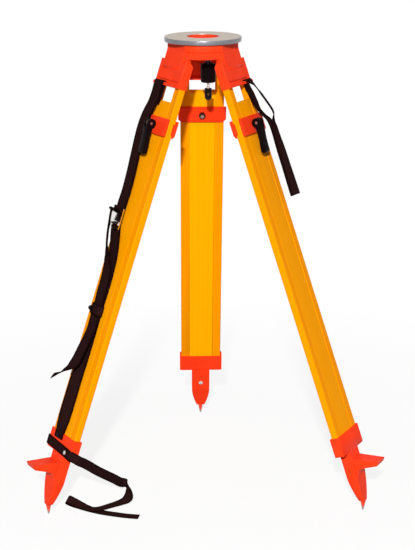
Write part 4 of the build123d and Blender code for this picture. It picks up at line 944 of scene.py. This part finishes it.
# round screw and rivet heads, modelled once for each kind
screwHeads = {
    "footScrewHead": {"radius": 0.00515, "height": 0.00305, "dome": 0.0014, "slot": 0.0014},
    "railScrewHead": {"radius": 0.00465, "height": 0.00255, "dome": 0.0013, "slot": 0.0013},
    "strapRivetHead": {"radius": 0.00465, "height": 0.00165, "dome": 0.0009, "slot": 0.0},
}
domeSteps = ((0.16, 0.45), (0.26, 0.35), (0.3, 0.2))  # inwards by the radius, up by the dome
headForm = {"corners": 36, "slotDepth": 0.85, "slotFloor": 0.0001, "merge": 0.000005, "smooth": 32}


def makeScrewHead(name):
    sizes = screwHeads[name]
    middle = (0, 0, sizes["height"] / 2)
    bpy.ops.object.select_all(action="DESELECT")
    bpy.ops.mesh.primitive_cylinder_add(
        vertices=headForm["corners"], radius=sizes["radius"], depth=sizes["height"], location=middle)
    head = bpy.context.active_object
    head.name = name
    bpy.ops.object.transform_apply(location=True, rotation=True, scale=True)
    bpy.ops.object.mode_set(mode="EDIT")
    pickFaces(head, lambda face: face.normal.z > 0.9)  # the flat top
    for inwards, rise in domeSteps:
        bpy.ops.mesh.inset(thickness=sizes["radius"] * inwards, depth=sizes["dome"] * rise)
    if sizes["slot"]:
        reach = sizes["slot"] / 2
        for side in (-1, 1):
            bpy.ops.mesh.select_all(action="SELECT")
            bpy.ops.mesh.bisect(plane_co=(side * reach, 0, 0), plane_no=(1, 0, 0))
        pickFaces(head, lambda face: face.normal.z > 0.2 and abs(face.calc_center_median().x) < reach)
        extrudeAlong(-sizes["dome"] * headForm["slotDepth"])
        floorSpot = (0, 0, sizes["height"] + headForm["slotFloor"])
        bpy.ops.transform.resize(value=(1, 1, 0), center_override=floorSpot)  # flat slot floor
    closeMesh(headForm["merge"], headForm["smooth"])
    return head


def seatHeads(name, places):
    first = makeScrewHead(name)
    shape = first.data.copy()
    bpy.data.objects.remove(first)
    for index, (leg, body, spot, turn, spin, finish) in enumerate(places):
        head = bpy.data.objects.new(name + "_" + leg + "_" + str(index), shape.copy())
        scene.collection.objects.link(head)
        head.data.transform(legSeat(leg, spot, turn) @ Matrix.Rotation(radians(spin), 4, "Z"))
        head.data.materials.append(finish)
        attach(head, body)


headSpots = {
    "foot": (0, -15.0, -904), "rail": (38.5, -7.5, -27),
    "brightRivet": (-34.0, 12.95, -857.3), "blackRivet": (13.0, 13.15, -832.0),
}  # in the leg's frame, mm


def makeFastenerHeads():
    feet, rails = [], []
    across, out, along = headSpots["rail"]
    for index, leg in enumerate(legFrame["angles"]):
        footFinish = zincSteel if leg == "rear" else orangePaint
        feet.append((leg, "leg_lower_" + leg, headSpots["foot"], 90, 35 + 50 * index, footFinish))
        for side in (-1, 1):
            spin = 20 + 70 * index + 25 * side  # no two slots stand alike
            rails.append((leg, "leg_upper_" + leg, (side * across, out, along), 90, spin, zincSteel))
    seatHeads("footScrewHead", feet)
    seatHeads("railScrewHead", rails)
    seatHeads("strapRivetHead", [
        ("left", "leg_upper_left", headSpots["brightRivet"], -90, 0, zincSteel),
        ("left", "leg_upper_left", headSpots["blackRivet"], -90, 0, blackPlastic)])


makeUpperStrap()
makeLowerStrap()
makeKeeper()
makeKeeperStud()
makeClosingStrap()
makeCarryStrap()
makeFastenerHeads()
print("straps woven, heads seated")

# camera at the photograph's station
cameraView = {
    "place": (-0.0712, -3.2209, 0.4034), "yaw": -1.4227, "pitch": 16.1635, "roll": -0.104,
    "lens": 98.5, "sensor": 36,
}
lens = bpy.data.cameras.new("photoCamera")
lens.lens = cameraView["lens"]
lens.sensor_width = cameraView["sensor"]
camera = bpy.data.objects.new("photoCamera", lens)
scene.collection.objects.link(camera)
yaw = Matrix.Rotation(radians(cameraView["yaw"]), 4, "Z")
pitch = Matrix.Rotation(radians(90 - cameraView["pitch"]), 4, "X")
roll = Matrix.Rotation(radians(cameraView["roll"]), 4, "Z")
camera.matrix_world = Matrix.Translation(cameraView["place"]) @ (yaw @ pitch) @ roll
scene.camera = camera

# white floor that keeps the shadow near the feet
floorPlan = {
    "size": 60.0, "gap": 0.0002, "shadowNear": 0.45, "shadowFar": 1.4, "shadowShare": 0.14,
    "paper": ((0.9, 0.9, 0.9, 1), (0.93, 0.93, 0.93, 1)), "grain": 300,
    "glow": (1, 1, 1, 1), "bounce": (0.3, 0.3, 0.3, 1),
}


def makeWhitePaper():
    paper = bpy.data.materials.new("whitePaper")
    paper.use_nodes = True
    tree = paper.node_tree
    tree.nodes.clear()
    place = addNode(tree, "ShaderNodeTexCoord").outputs["Object"]
    far = addNode(tree, "ShaderNodeVectorMath", operation="LENGTH")
    feed(tree, far.inputs[0], stretched(tree, place, (1, 1, 0)))
    shadowSpan = (floorPlan["shadowNear"], floorPlan["shadowFar"])
    near = spread(tree, far.outputs["Value"], *shadowSpan, floorPlan["shadowShare"], 0.0)
    plain = addNode(tree, "ShaderNodeBsdfDiffuse")
    grainy = noiseAt(tree, place, floorPlan["grain"])
    feed(tree, plain.inputs["Color"], blendColor(tree, grainy, *floorPlan["paper"]))
    glow = addNode(tree, "ShaderNodeEmission")
    feed(tree, glow.inputs["Color"], floorPlan["glow"])
    dim = addNode(tree, "ShaderNodeBsdfDiffuse")
    feed(tree, dim.inputs["Color"], floorPlan["bounce"])
    seen = blendShader(tree, near, glow, plain)
    whole = blendShader(tree, seenDirectly(tree), dim, seen)
    output = addNode(tree, "ShaderNodeOutputMaterial")
    feed(tree, output.inputs["Surface"], whole.outputs[0])
    return paper


bpy.ops.object.select_all(action="DESELECT")
bpy.ops.mesh.primitive_plane_add(size=floorPlan["size"], location=(0, 0, cadBox[0][2] - floorPlan["gap"]))
floor = bpy.context.active_object
floor.name = "studioFloor"
bpy.ops.object.transform_apply(location=True, rotation=True, scale=True)
floor.data.materials.append(makeWhitePaper())

# even room light, white where it is seen
roomLight = {"level": 0.12, "color": (1, 1, 1, 1)}
world = bpy.data.worlds.new("studioRoom")
scene.world = world
world.use_nodes = True
tree = world.node_tree
tree.nodes.clear()
sky = addNode(tree, "ShaderNodeBackground")
feed(tree, sky.inputs["Color"], roomLight["color"])
feed(tree, sky.inputs["Strength"], spread(tree, seenDirectly(tree), 0, 1, roomLight["level"], 1.0))
output = addNode(tree, "ShaderNodeOutputWorld")
feed(tree, output.inputs["Surface"], sky.outputs[0])

# lamps: a main one above the camera, a wide one behind and a wider one on the right
lamps = {
    "mainLamp": {"place": (-0.45, -6.0, 2.5), "target": (-0.4, -5.0, -3.2),
                 "size": 0.3, "power": 940, "mirrored": True},
    "backLamp": {"place": (0.9, 4.4, -0.52), "target": (0, 0, -0.52),
                 "size": 0.8, "power": 100, "mirrored": False},
    "rightLamp": {"place": (2.6, -1.8, 1.4), "target": (0, 0, -0.5),
                  "size": 1.6, "power": 8, "mirrored": True},
}
for name, lamp in lamps.items():
    light = bpy.data.lights.new(name, "AREA")
    light.shape = "DISK"
    light.size = lamp["size"]
    light.energy = lamp["power"]
    bulb = bpy.data.objects.new(name, light)
    bulb.visible_glossy = lamp["mirrored"]
    scene.collection.objects.link(bulb)
    way = Vector(lamp["target"]) - Vector(lamp["place"])
    aim = way.to_track_quat("-Z", "Y").to_matrix().to_4x4()
    bulb.matrix_world = Matrix.Translation(lamp["place"]) @ aim
print("camera, floor and lamps set")
